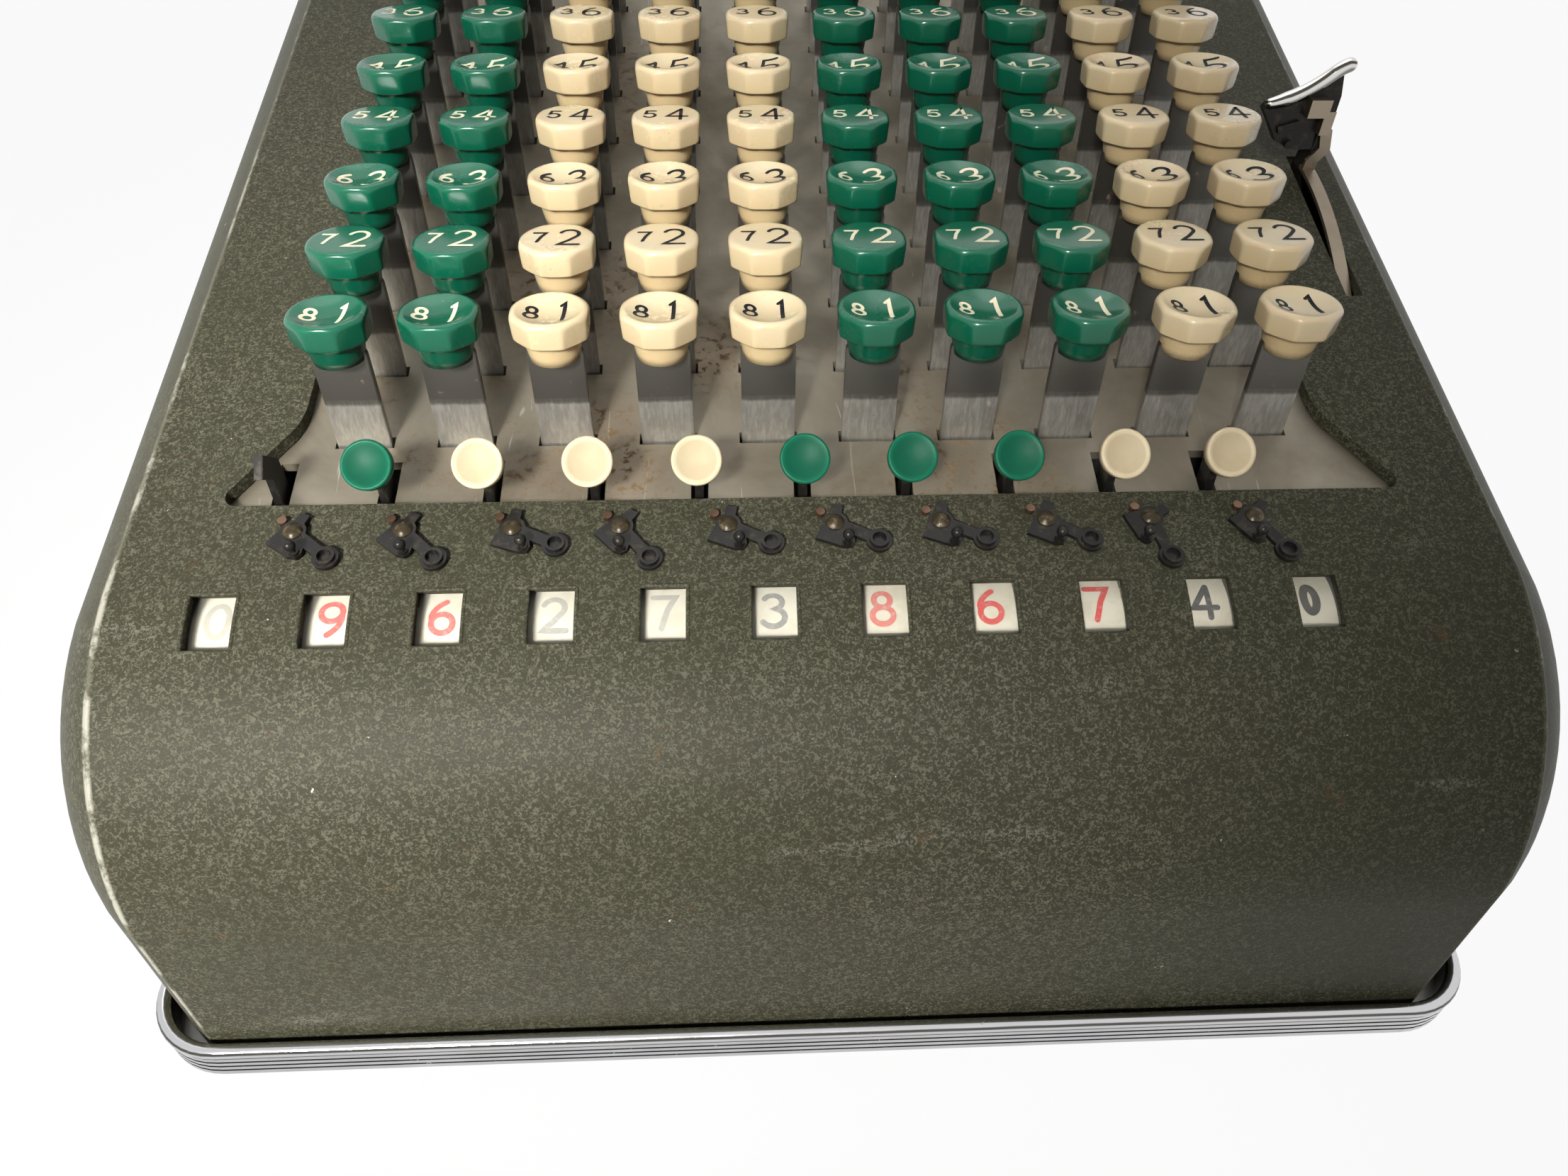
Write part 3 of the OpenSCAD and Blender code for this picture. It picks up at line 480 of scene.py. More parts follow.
def makeClearStrip():
    f = Finish("clearStrip", {"IOR": 1.42, "Specular IOR Level": 0.35})
    cloud = f.noise(90.0, 4.0, 0.6)
    middle = f.spread(abs(f.x - stripLook["hazeAt"]), *stripLook["hazeWide"],
                      (stripLook["haze"], 0.0))
    f.set("Base Color", f.mix(cloud, stripLook["clear"], stripLook["cloudy"]))
    f.set("Alpha", 0.05 + f.spread(cloud, 0.40, 0.8) * 0.07 + middle)
    f.set("Roughness", 0.22 + cloud * 0.2)
    return f.material


# Printing inks: colour, and how far it has faded
inks = {
    "inkBlack": ((0.010, 0.010, 0.012), 0.08),
    "inkCream": ((0.80, 0.74, 0.55), 0.1),
    "inkDark": ((0.030, 0.032, 0.040), 0.2),
    "inkGrey": ((0.15, 0.15, 0.15), 0.5),
    "inkPale": ((0.25, 0.245, 0.22), 0.6),
    "inkFaint": ((0.36, 0.34, 0.28), 0.6),
    "inkRed": ((0.55, 0.035, 0.035), 0.3),
    "inkWorn": ((0.56, 0.12, 0.10), 0.5),
}


def makeInk(name, colour, worn):
    f = Finish(name, {"IOR": 1.5, "Specular IOR Level": 0.05})
    fade = f.noise(900.0, 4.0, 0.65)
    paler = tuple(v + (0.45 - v) * worn for v in colour)
    f.set("Base Color", f.mix(f.spread(fade, 0.5, 0.75), colour, paler))
    f.set("Roughness", 0.35 + fade * 0.2)
    return f.material


def makeRubber():
    f = Finish("footRubber", {})
    dust = f.noise(300.0, 4.0, 0.6)
    f.set("Base Color", f.mix(dust, (0.012, 0.012, 0.012), (0.05, 0.048, 0.044)))
    f.set("Roughness", 0.7 + dust * 0.2)
    f.bump(dust, 0.2, 0.0002)
    return f.material


finishes = {
    "enamel": makeEnamel(),
    "keyGreen": makeKeyFinish("keyGreenMoulding", *keyLook["green"], 0.0),
    "keyCream": makeKeyFinish("keyCreamMoulding", *keyLook["cream"], 0.15),
    "stems": makeStemSteel(),
    "buttonGreen": makeMoulding("buttonGreen", *buttonLook["green"]),
    "buttonCream": makeMoulding("buttonCream", *buttonLook["cream"]),
    "plate": makePlateSteel(),
    "black": makeBlackened("pointerBlack"),
    "bronze": makeBlackened("rivetBronze"),
    "ivory": makeIvory(),
    "strip": makeClearStrip(),
    "rubber": makeRubber(),
}
for name, look in metals.items():
    finishes[name] = makePlainSteel(*look)
for name, look in platings.items():
    finishes[name] = makeBrightPlating(*look)
for name, look in inks.items():
    finishes[name] = makeInk(name, *look)
print("finishes made:", len(finishes))


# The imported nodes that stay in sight; the others are made again below
nodeFinish = {
    "top_cover": "enamel", "window_strip": "strip", "key_plate": "plate", "guide_plate": "steel",
    "side_frames": "steel", "cross_rods": "shaft", "wheel_shaft": "shaft",
    "cutoff_shaft": "shaft", "base_pan": "steel", "base_band": "plating", "feet": "rubber",
    "cover_screws": "shaft", "pointer_rivets": "bronze", "stop_pins": "copper",
    "zero_shaft": "shaft", "zero_lever": "black", "slot_strip": "worn",
}
nodeFinish.update({f"decimal_pointer_{c}": "black" for c in columns})
nodeFinish.update({f"numeral_wheel_{k}": "ivory" for k in wheels})
for node, finish in nodeFinish.items():
    for slot in nodes[node].material_slots:
        slot.material = finishes[finish]
print("nodes dressed:", len(nodeFinish))


# Numerals: each digit is a few pen strokes in a box one unit high

def arc(x, y, rx, ry, start, end, steps):
    turns = [math.radians(start + (end - start) * i / steps) for i in range(steps + 1)]
    return [(x + rx * math.cos(a), y + ry * math.sin(a)) for a in turns]


penCapSteps = 5
digitStrokes = {
    0: [arc(0.31, 0.5, 0.27, 0.5, 90, 450, 28)],
    1: [[(0.24, 0.92), (0.34, 1.0), (0.34, 0.0)]],
    2: [arc(0.30, 0.72, 0.27, 0.28, 160, -35, 16) + [(0.30, 0.27), (0.03, 0.0), (0.62, 0.0)]],
    3: [arc(0.28, 0.76, 0.24, 0.24, 150, -80, 14)[:-1] + arc(0.28, 0.27, 0.30, 0.27, 80, -150, 18)],
    4: [[(0.42, 1.0), (0.0, 0.30), (0.62, 0.30)], [(0.42, 1.0), (0.42, 0.0)]],
    5: [[(0.56, 1.0), (0.13, 1.0), (0.07, 0.56)]
        + arc(0.28, 0.32, 0.29, 0.31, 125, -150, 18)],
    6: [arc(0.92, 0.42, 0.90, 0.72, 128, 172, 10) + arc(0.30, 0.29, 0.27, 0.29, 165, 525, 26)],
    7: [[(0.02, 1.0), (0.58, 1.0), (0.38, 0.55), (0.24, 0.0)]],
    8: [arc(0.30, 0.76, 0.21, 0.24, 270, 630, 22), arc(0.30, 0.26, 0.27, 0.26, 90, 450, 26)],
    9: [arc(-0.30, 0.58, 0.90, 0.72, -52, -8, 10) + arc(0.32, 0.71, 0.27, 0.29, -15, 345, 26)],
}


def penStroke(bm, points, width, at, scale):
    # a flat ribbon along the points in steps of a millimetre at most, with round ends
    spots = [Vector((at[0] + p[0] * scale, at[1] + p[1] * scale)) for p in points]
    pts = [spots[0]]
    for a, b in zip(spots, spots[1:]):
        count = max(1, math.ceil((b - a).length / mm))
        pts += [a.lerp(b, i / count) for i in range(1, count + 1)]
    pts = [p for i, p in enumerate(pts) if i == 0 or (p - pts[i - 1]).length > 1e-7]
    closed = (pts[0] - pts[-1]).length < 1e-6
    half = width / 2
    rails = []
    for i, p in enumerate(pts):
        before = pts[i - 1] if i else (pts[-2] if closed else None)
        after = pts[i + 1] if i + 1 < len(pts) else (pts[1] if closed else None)
        a = (p - before).normalized() if before is not None else (after - p).normalized()
        b = (after - p).normalized() if after is not None else a
        way = (a + b).normalized() if (a + b).length > 0.2 else b
        side = Vector((-way.y, way.x))
        grow = 1 / max(0.55, abs(side.dot(Vector((-a.y, a.x)))))
        rails.append((p + side * half * grow, p - side * half * grow))
    if closed:
        rails[-1] = rails[0]
    corners = [(bm.verts.new((l.x, l.y, 0)), bm.verts.new((r.x, r.y, 0))) for l, r in rails]
    for (l0, r0), (l1, r1) in zip(corners, corners[1:]):
        bm.faces.new((r0, r1, l1, l0))
    if not closed:
        for end, sign in ((0, -1), (-1, 1)):
            l, r = corners[end]
            start = math.atan2(*(rails[end][0] - pts[end]).yx)
            turns = [start - sign * math.pi * i / penCapSteps for i in range(1, penCapSteps)]
            fan = [pts[end] + Vector((math.cos(a), math.sin(a))) * half for a in turns]
            rim = [l] + [bm.verts.new((v.x, v.y, 0)) for v in fan] + [r]
            bm.faces.new(rim if sign < 0 else rim[::-1])


def drawDigit(bm, digit, centre, height, width, slim=1.0):
    at = (centre[0] - 0.31 * height * slim, centre[1] - height / 2)
    for stroke in digitStrokes[digit]:
        penStroke(bm, [(x * slim, y) for x, y in stroke], width, at, height)


def meshPiece(name, bm, finish=None, smooth=False):
    for face in bm.faces:
        face.smooth = smooth
    mesh = bpy.data.meshes.new(name)
    bm.to_mesh(mesh)
    bm.free()
    if finish:
        mesh.materials.append(finishes[finish])
    return inScene(bpy.data.objects.new(name, mesh))


def flatPiece(name, bm):
    for face in bm.faces:
        if face.normal.z < 0:
            face.normal_flip()
    return meshPiece(name, bm)


def runTree(piece, group, inputs, name):
    # sets the tree's inputs by identifier, then keeps the evaluated mesh as the piece's own
    step = piece.modifiers.new("shape", "NODES")
    step.node_group = group
    for item in group.interface.items_tree:
        if item.item_type == "SOCKET" and item.in_out == "INPUT" and item.name in inputs:
            step[item.identifier] = inputs[item.name]
    seen = piece.evaluated_get(bpy.context.evaluated_depsgraph_get())
    made = bpy.data.meshes.new_from_object(seen)
    result = inScene(bpy.data.objects.new(name, made))
    piece.modifiers.remove(step)
    bpy.data.objects.remove(piece)
    return result


def newGroup(name, sockets):
    group = bpy.data.node_groups.new(name, "GeometryNodeTree")
    group.interface.new_socket("Geometry", in_out="INPUT", socket_type="NodeSocketGeometry")
    for label, kind in sockets:
        group.interface.new_socket(label, in_out="INPUT", socket_type=kind)
    group.interface.new_socket("Geometry", in_out="OUTPUT", socket_type="NodeSocketGeometry")
    tree = Tree(group)
    return group, tree, tree.add("NodeGroupInput")


def closeGroup(tree, geometry, finish):
    solid = tree.add("GeometryNodeRealizeInstances", {}, {0: geometry})
    done = tree.add("GeometryNodeSetMaterial", {}, {0: solid[0], "Material": finish})
    tree.add("NodeGroupOutput", {}, {0: done[0]})


keyNumerals = {
    "small": {"at": (-3.1 * mm, 0.0), "height": 3.9 * mm, "weight": 0.88},
    "large": {"at": (2.3 * mm, 0.0), "height": 6.3 * mm, "weight": 1.0},
    "pen": 0.74 * mm,
    "lift": 0.04 * mm,
    "dishRadius": 14 * mm,
    "dishHeight": 12.70 * mm,  # the dish's centre above the key's top
}


def makeSettleTree(finish):
    # lays the flat numerals of one column on its nine key tops, in the dishes of odd rows
    group, t, given = newGroup("settleOnKeys", [
        ("Row Pitch", "NodeSocketFloat"), ("Row Rise", "NodeSocketFloat"),
        ("Dish Radius", "NodeSocketFloat"), ("Dish Height", "NodeSocketFloat"),
        ("Lift", "NodeSocketFloat")])
    x, y, z = t.axes(t.add("GeometryNodeInputPosition")[0])
    row = (y / given["Row Pitch"]).alone("ROUND")
    inRow = y - row * given["Row Pitch"]
    far = x * x + inRow * inRow
    under = t.larger(given["Dish Radius"] * given["Dish Radius"] - far, 0.0).alone("SQRT")
    dish = (given["Dish Height"] - under).math("MINIMUM", 0.0)
    even = 1.0 - (abs(row) * 0.5).alone("FRACT") * 2.0
    up = row * given["Row Rise"] + dish * even + given["Lift"]
    offset = t.add("ShaderNodeCombineXYZ", {}, {0: 0.0, 1: 0.0, 2: up})
    moved = t.add("GeometryNodeSetPosition", {}, {0: given["Geometry"], "Offset": offset[0]})
    closeGroup(t, moved[0], finish)
    return group


settleTrees = {name: makeSettleTree(finishes[name]) for name in ("inkBlack", "inkCream")}


# Key tops: a dished and a flat one, each an eight-sided head with soft edges and a round neck
keyShape = {
    "halfWidth": 7.2 * mm,
    "rim": 4.8 * mm,          # height of the eight-sided head
    "neck": 4.4 * mm,         # height of the round neck below it
    "neckTop": 5.3 * mm,
    "neckFoot": 4.5 * mm,
    "edge": 1.2 * mm,         # radius of the rounded upper edge
    "faceRadii": (0.9, 1.8, 2.8, 3.8, 4.8, 5.4),    # rings, in mm
    "lip": ((5.72 * mm, 0.10 * mm), (5.92 * mm, 0.015 * mm)),   # radius, depth at the dish's rim
    "edgeAngles": (78, 62, 46, 30, 15, 0),
    "sideDepths": (1.5, 2.1, 2.9, 3.7, 4.3),
    "neckSteps": (0.3, 0.65, 1.0),
    "facetTaper": (0.97, 0.08),
    "around": 96,             # points round the head
    "soften": 0.30 * mm,      # rounding where a facet meets another face
    "stem": (10 * mm, 1.5 * mm, 70.2 * mm),
    "stemTop": -7.0 * mm,
    "shoulder": 1.5 * mm,
    "barDrop": 69.0 * mm,     # middle of the tie bar below the first key's top
    "bar": (2.4 * mm, 7 * mm),
    "barOver": 4 * mm,
    "barEdge": 0.3 * mm,
}


def joinRings(bm, last, ring):
    # the faces between two rings, of which one may be a single point repeated
    for i in range(len(ring)):
        j = (i + 1) % len(ring)
        corners = list(dict.fromkeys((last[i], ring[i], ring[j], last[j])))
        if len(corners) > 2:
            bm.faces.new(corners)


def headRings(dished):
    # distance from the axis, height, and whether the facets cut the ring
    k = keyShape
    w, edge, rim = k["halfWidth"], k["edge"], k["rim"]
    dishR, dishZ = keyNumerals["dishRadius"], keyNumerals["dishHeight"]
    rings = []
    for r in k["faceRadii"]:
        z = dishZ - math.sqrt(dishR ** 2 - (r * mm) ** 2) if dished else 0.0
        rings.append((r * mm, z, False))
    (inner, depth), (outer, shallow) = k["lip"]
    rings += [(inner, -depth if dished else 0.0, False), (outer, -shallow, False)]
    for a in k["edgeAngles"]:
        rings.append((w - edge + edge * math.cos(math.radians(a)),
                      edge * math.sin(math.radians(a)) - edge, True))
    for z in k["sideDepths"]:
        rings.append((w, -z * mm, True))
    rings += [(w - 0.10 * mm, 0.22 * mm - rim, True), (w - 0.35 * mm, 0.06 * mm - rim, True),
              (w - 0.75 * mm, -rim, True), (k["neckTop"] + 0.35 * mm, -rim, False),
              (k["neckTop"], -rim - 0.12 * mm, False)]
    for t in k["neckSteps"]:
        rings.append((k["neckTop"] + (k["neckFoot"] - k["neckTop"]) * t,
                      -rim - k["neck"] * t, False))
    return rings


def facetAt(angle, z):
    # how far the eight flat sides stand from the axis in this direction
    k = keyShape
    foot, growth = k["facetTaper"]
    corner = k["halfWidth"] * (foot + growth * (z + k["rim"]) / k["rim"])
    off = (angle + math.pi / 8) % (math.pi / 4) - math.pi / 8
    return corner * math.cos(math.pi / 8) / math.cos(off)


def makeKeyHead(name, dished):
    bm = bmesh.new()
    n = keyShape["around"]
    soften = keyShape["soften"]
    sunk = keyNumerals["dishHeight"] - keyNumerals["dishRadius"] if dished else 0
    last = [bm.verts.new((0, 0, sunk))] * n
    for r, z, cutByFacets in headRings(dished):
        ring = []
        for i in range(n):
            a = 2 * math.pi * i / n
            reach = r
            if cutByFacets:
                flat = facetAt(a, z)
                reach = (r + flat - math.hypot(r - flat, soften)) / 2 + soften * 0.12
            ring.append(bm.verts.new((reach * math.cos(a), reach * math.sin(a), z)))
        joinRings(bm, last, ring)
        last = ring
    bm.faces.new(list(reversed(last)))
    return meshPiece(name, bm, smooth=True)


sheetEdge = 0.12 * mm


def addSheet(bm, outline, thick, across):
    # a flat outline drawn in (a, z), given its thickness along the axis across, edges softened
    def place(a, z, off):
        return (a, off, z) if across == 1 else (off, a, z)
    first = [bm.verts.new(place(a, z, -thick / 2)) for a, z in outline]
    second = [bm.verts.new(place(a, z, thick / 2)) for a, z in outline]
    made = [bm.faces.new(first), bm.faces.new(second[::-1])]
    for i in range(len(first)):
        j = (i + 1) % len(first)
        made.append(bm.faces.new((first[j], first[i], second[i], second[j])))
    bmesh.ops.recalc_face_normals(bm, faces=made)
    rim = [e for face in made[:2] for e in face.edges]
    bmesh.ops.bevel(bm, geom=rim, offset=sheetEdge, segments=2, affect="EDGES")


def makeKeyStem(name):
    wide, thick, length = keyShape["stem"]
    r, top = keyShape["shoulder"], keyShape["stemTop"]
    outline = [(-wide / 2, -length), (wide / 2, -length)]
    for side, turn in ((1, (0, 90)), (-1, (90, 180))):
        for i in range(7):
            a = math.radians(turn[0] + (turn[1] - turn[0]) * i / 6)
            outline.append((side * (wide / 2 - r) + r * math.cos(a), top - r + r * math.sin(a)))
    bm = bmesh.new()
    addSheet(bm, outline, thick, 1)
    return meshPiece(name, bm)


def makeRowTree(name, finish):
    # stands the piece on every other row from the first, and the other shape between them
    group, t, given = newGroup(name, [
        ("Rows", "NodeSocketInt"), ("Row Pitch", "NodeSocketFloat"),
        ("Row Rise", "NodeSocketFloat"), ("Even Shape", "NodeSocketObject")])
    step = t.add("ShaderNodeCombineXYZ", {}, {1: given["Row Pitch"], 2: given["Row Rise"]})
    line = t.add("GeometryNodeMeshLine", {"mode": "OFFSET"},
                 {"Count": given["Rows"], "Offset": step[0]})
    place = t.add("GeometryNodeInputIndex")[0]
    even = (place * 0.5).alone("FRACT") > 0.25
    other = t.add("GeometryNodeObjectInfo", {"transform_space": "ORIGINAL"},
                  {"Object": given["Even Shape"]})
    onOdd = t.add("GeometryNodeInstanceOnPoints", {}, {
        "Points": line[0], "Selection": 1.0 - even, "Instance": given["Geometry"]})
    onEven = t.add("GeometryNodeInstanceOnPoints", {}, {
        "Points": line[0], "Selection": even, "Instance": other["Geometry"]})
    both = t.add("GeometryNodeJoinGeometry")
    for part in (onOdd, onEven):
        t.group.links.new(part[0].socket, both.node.inputs[0])
    closeGroup(t, both[0], finish)
    return group


rowTrees = {name: makeRowTree(f"rowsOf_{name}", finishes[name])
            for name in ("keyGreen", "keyCream", "stems")}


def standInRows(name, tree, shape, evenShape, c):
    start = inScene(shape.copy())
    start.data = shape.data.copy()
    piece = runTree(start, rowTrees[tree], {
        "Rows": layout["rows"], "Row Pitch": layout["rowPitch"], "Row Rise": layout["rowRise"],
        "Even Shape": evenShape}, name)
    if tree == "stems":
        addTieBar(piece)
    moveMesh(piece, columnX(c), layout["rowOneY"], layout["keyTopZ"])
    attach(piece, f"key_column_{c}")
    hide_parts(f"key_column_{c}")


def addTieBar(piece):
    # the bar low inside that ties a column's stems together
    bm = bmesh.new()
    bm.from_mesh(piece.data)
    run = (layout["rows"] - 1) * layout["rowPitch"]
    middle = Vector((0, run / 2, run / 2 * rise - keyShape["barDrop"]))
    thick, tall = keyShape["bar"]
    made = bmesh.ops.create_cube(bm, size=1.0)
    for v in made["verts"]:
        y = v.co.y * (run + keyShape["barOver"])
        v.co = middle + Vector((v.co.x * thick, y, v.co.z * tall + y * rise))
    edges = list({e for v in made["verts"] for e in v.link_edges})
    bmesh.ops.bevel(bm, geom=edges, offset=keyShape["barEdge"], segments=2, affect="EDGES")
    bm.to_mesh(piece.data)
    bm.free()


headShapes = {True: makeKeyHead("dishedHead", True), False: makeKeyHead("flatHead", False)}
stemShape = makeKeyStem("keyStem")
for c in columns:
    standInRows(f"keyTops{c}", "keyGreen" if c in greenColumns else "keyCream",
                headShapes[True], headShapes[False], c)
    standInRows(f"keyStems{c}", "stems", stemShape, stemShape, c)
for shape in (headShapes[True], headShapes[False], stemShape):
    bpy.data.objects.remove(shape)
print("key tops and stems stand on", layout["rows"], "rows")


def makeKeyNumerals(c):
    bm = bmesh.new()
    for r in range(layout["rows"]):
        y = r * layout["rowPitch"]
        for part, digit in (("small", layout["rows"] - 1 - r), ("large", r + 1)):
            look = keyNumerals[part]
            drawDigit(bm, digit, (look["at"][0], y + look["at"][1]), look["height"],
                      keyNumerals["pen"] * look["weight"])
    ink = "inkCream" if c in greenColumns else "inkBlack"
    flat = flatPiece(f"flatNumerals{c}", bm)
    piece = runTree(flat, settleTrees[ink], {
        "Row Pitch": layout["rowPitch"], "Row Rise": layout["rowRise"],
        "Dish Radius": keyNumerals["dishRadius"], "Dish Height": keyNumerals["dishHeight"],
        "Lift": keyNumerals["lift"]}, f"keyNumerals{c}")
    moveMesh(piece, columnX(c), layout["rowOneY"], layout["keyTopZ"])
    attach(piece, f"key_column_{c}")


for c in columns:
    makeKeyNumerals(c)
print("key numerals settled on", layout["columns"], "columns")


# Cutoff levers: a black leaf on the hidden shaft, with a dished button turned to the operator
cutoff = {
    "right": layout["buttonRight"],
    "hubY": -117.5 * mm,
    "hubZ": 80.8 * mm,
    "hub": 4 * mm,
    "hubTurn": (-217, 38, 15),   # the leaf's round end, in degrees
    "thick": 1.6 * mm,
    "seat": layout["buttonSeat"],
    "lean": layout["buttonLean"],  # the button's face from upright
    "width": 9 * mm,
    "height": 2.2 * mm,
    "dish": 0.9 * mm,
    "rim": 0.42 * mm,          # radius of the rounded rim
    "rimAngles": (135, 110, 85, 60, 35, 10),
    "dishSteps": (0, 0.3, 0.6, 0.85, 1),
    "around": 40,
    "neckY": layout["rowOneY"] - 11.6 * mm,   # where the leaf comes up through the plate
}


def addRevolve(bm, profile, around, place):
    # profile of (radius, height) from the axis round to the axis
    turns = [2 * math.pi * i / around for i in range(around)]
    last = None
    for r, z in profile:
        if r < 1e-9:
            ring = [bm.verts.new(place @ Vector((0, 0, z)))] * around
        else:
            ring = [bm.verts.new(place @ Vector((r * math.cos(a), r * math.sin(a), z)))
                    for a in turns]
        if last is not None:
            joinRings(bm, last, ring)
        last = ring


def makeButton(c):
    b = cutoff
    half, tall, rim = b["width"] / 2, b["height"], b["rim"]
    inner = half - 2 * rim
    profile = [(inner * t, tall - rim * 0.4 - b["dish"] * (1 - t * t)) for t in b["dishSteps"]]
    for angle in b["rimAngles"]:
        a = math.radians(angle)
        profile.append((half - rim + rim * math.cos(a), tall - rim + rim * math.sin(a)))
    profile += [(half, tall - rim), (half - 0.1 * mm, 0.4 * mm), (half - 0.5 * mm, 0), (0, 0)]
    lean = Matrix.Rotation(math.pi / 2 - b["lean"], 4, "X")
    spot = (columnX(c - 1) + b["right"], *b["seat"])
    place = Matrix.Translation(spot) @ lean @ Matrix.Translation((0, 0, -0.4 * mm))
    bm = bmesh.new()
    addRevolve(bm, profile, b["around"], place)
    finish = "buttonGreen" if c in greenLevers else "buttonCream"
    piece = meshPiece(f"cutoffButton{c}", bm, finish, smooth=True)
    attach(piece, f"cutoff_lever_{c}")
    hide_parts(f"cutoff_lever_{c}")


def makeLeaf(c):
    # bent up from the hub to the seat under the button
    hubY, hubZ, hub = cutoff["hubY"], cutoff["hubZ"], cutoff["hub"]
    seatY, seatZ = cutoff["seat"][0] - 0.5 * mm, cutoff["seat"][1] - 1.6 * mm
    neckY, plate = cutoff["neckY"], layout["plateZ"]
    outline = [(hubY + hub * math.cos(math.radians(a)), hubZ + hub * math.sin(math.radians(a)))
               for a in range(*cutoff["hubTurn"])]
    outline += [(neckY + 2.4 * mm, plate - 4 * mm), (neckY + 2 * mm, plate + 3.4 * mm),
                (seatY + 2 * mm, seatZ + 3.2 * mm), (seatY - 1 * mm, seatZ),
                (neckY - 2 * mm, plate + 1.5 * mm), (neckY - 2 * mm, plate - 4 * mm)]
    bm = bmesh.new()
    addSheet(bm, outline, cutoff["thick"], 0)
    piece = meshPiece(f"cutoffLeaf{c}", bm, "black")
    moveMesh(piece, columnX(c - 1) + cutoff["right"], 0, 0)
    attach(piece, f"cutoff_lever_{c}")
    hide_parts(f"cutoff_lever_{c}")


for c in columns:
    makeLeaf(c)
    if c > 1:
        makeButton(c)
print("cutoff buttons made")


# Finger bar of the zeroing lever: one smooth rod, bent up and then level at its outer end
fingerBar = {
    "at": (115.1 * mm, -43.0 * mm, 147.9 * mm),
    "tip": (-13.4 * mm, 3.4 * mm),
    "rise": 12,               # degrees at the tip
    "bend": (26 * mm, 30),    # radius and turn of the long bend
    "endBend": (9 * mm, 21),
    "rod": 1.5 * mm,
    "thin": 1.12 * mm,
    "taper": 3.5 * mm,        # the thin tip grows to the full rod over this length
    "capAngles": (90, 70, 50, 30, 10),
    "around": 24,
}


def makeFingerBar():
    b = fingerBar
    path, heading, half = [Vector(b["tip"])], math.radians(b["rise"]), math.radians(0.5)
    for (radius, turn), way in ((b["bend"], 1), (b["endBend"], -1)):
        for i in range(turn):
            heading += way * half
            step = Vector((math.cos(heading), math.sin(heading)))
            path.append(path[-1] + radius * 2 * half * step)
            heading += way * half
    # sections of the rod: where, which way, radius, and how far ahead on the round ends
    caps = [math.radians(a) for a in b["capAngles"]]
    start, end = path[1] - path[0], path[-1] - path[-2]
    rings = [(path[0], start, b["thin"] * math.cos(a), -b["thin"] * math.sin(a)) for a in caps]
    run = start.length
    for before, p, after in zip(path, path[1:], path[2:]):
        thick = b["thin"] + (b["rod"] - b["thin"]) * min(1.0, run / b["taper"])
        rings.append((p, after - before, thick, 0.0))
        run += (after - p).length
    rings += [(path[-1], end, b["rod"] * math.cos(a), b["rod"] * math.sin(a))
              for a in reversed(caps)]
    bm = bmesh.new()
    n, last = b["around"], None
    for spot, along, radius, ahead in rings:
        along = along.normalized()
        centre = spot + along * ahead
        side = Vector((-along.y, along.x))
        ring = []
        for i in range(n):
            a = 2 * math.pi * i / n
            flat = centre + side * radius * math.cos(a)
            ring.append(bm.verts.new((flat.x, -radius * math.sin(a), flat.y)))
        if last is not None:
            for i in range(n):
                bm.faces.new((last[i], last[i - 1], ring[i - 1], ring[i]))
        last = ring
    bmesh.ops.remove_doubles(bm, verts=bm.verts, dist=1e-6)
    bmesh.ops.recalc_face_normals(bm, faces=bm.faces)
    piece = meshPiece("fingerBar", bm, "chrome", smooth=True)
    moveMesh(piece, *b["at"])
    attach(piece, "zeroing_lever")
    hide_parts("finger_bar")


makeFingerBar()
print("finger bar made")


# Rounded painted edge of each window, a fine bead that follows the nose
windowEdge = {
    "size": (8.5 * mm, 10.5 * mm),
    "noseRadius": 56 * mm,
    "noseY": -122 * mm,
    "bead": 0.42 * mm,
    "sunk": 0.26 * mm,        # how far the bead's middle lies below the paint
    "corner": 0.5 * mm,
    "longSide": 4 * mm,
    "sideCuts": 5,
}


def makeBeadTree():
    # stands one bead outline at every window and bends it round the nose
    group, t, given = newGroup("windowBeads", [
        ("Count", "NodeSocketInt"), ("Pitch", "NodeSocketFloat"), ("Bead", "NodeSocketFloat"),
        ("Radius", "NodeSocketFloat"), ("Lean", "NodeSocketFloat")])
    step = t.add("ShaderNodeCombineXYZ", {}, {0: given["Pitch"]})
    line = t.add("GeometryNodeMeshLine", {"mode": "OFFSET"},
                 {"Count": given["Count"], "Offset": step[0]})
    path = t.add("GeometryNodeMeshToCurve", {}, {0: given["Geometry"]})
    section = t.add("GeometryNodeCurvePrimitiveCircle", {"mode": "RADIUS"},
                    {"Resolution": 10, "Radius": given["Bead"]})
    bead = t.add("GeometryNodeCurveToMesh", {}, {0: path[0], 1: section[0]})
    row = t.add("GeometryNodeInstanceOnPoints", {}, {"Points": line[0], "Instance": bead[0]})
    solid = t.add("GeometryNodeRealizeInstances", {}, {0: row[0]})
    x, y, z = t.axes(t.add("GeometryNodeInputPosition")[0])
    place = t.roundAxis(x, given["Lean"] - y / given["Radius"], given["Radius"] + z)
    moved = t.add("GeometryNodeSetPosition", {}, {0: solid[0], "Position": place[0]})
    smooth = t.add("GeometryNodeSetShadeSmooth", {}, {0: moved[0]})
    closeGroup(t, smooth[0], finishes["enamel"])
    return group


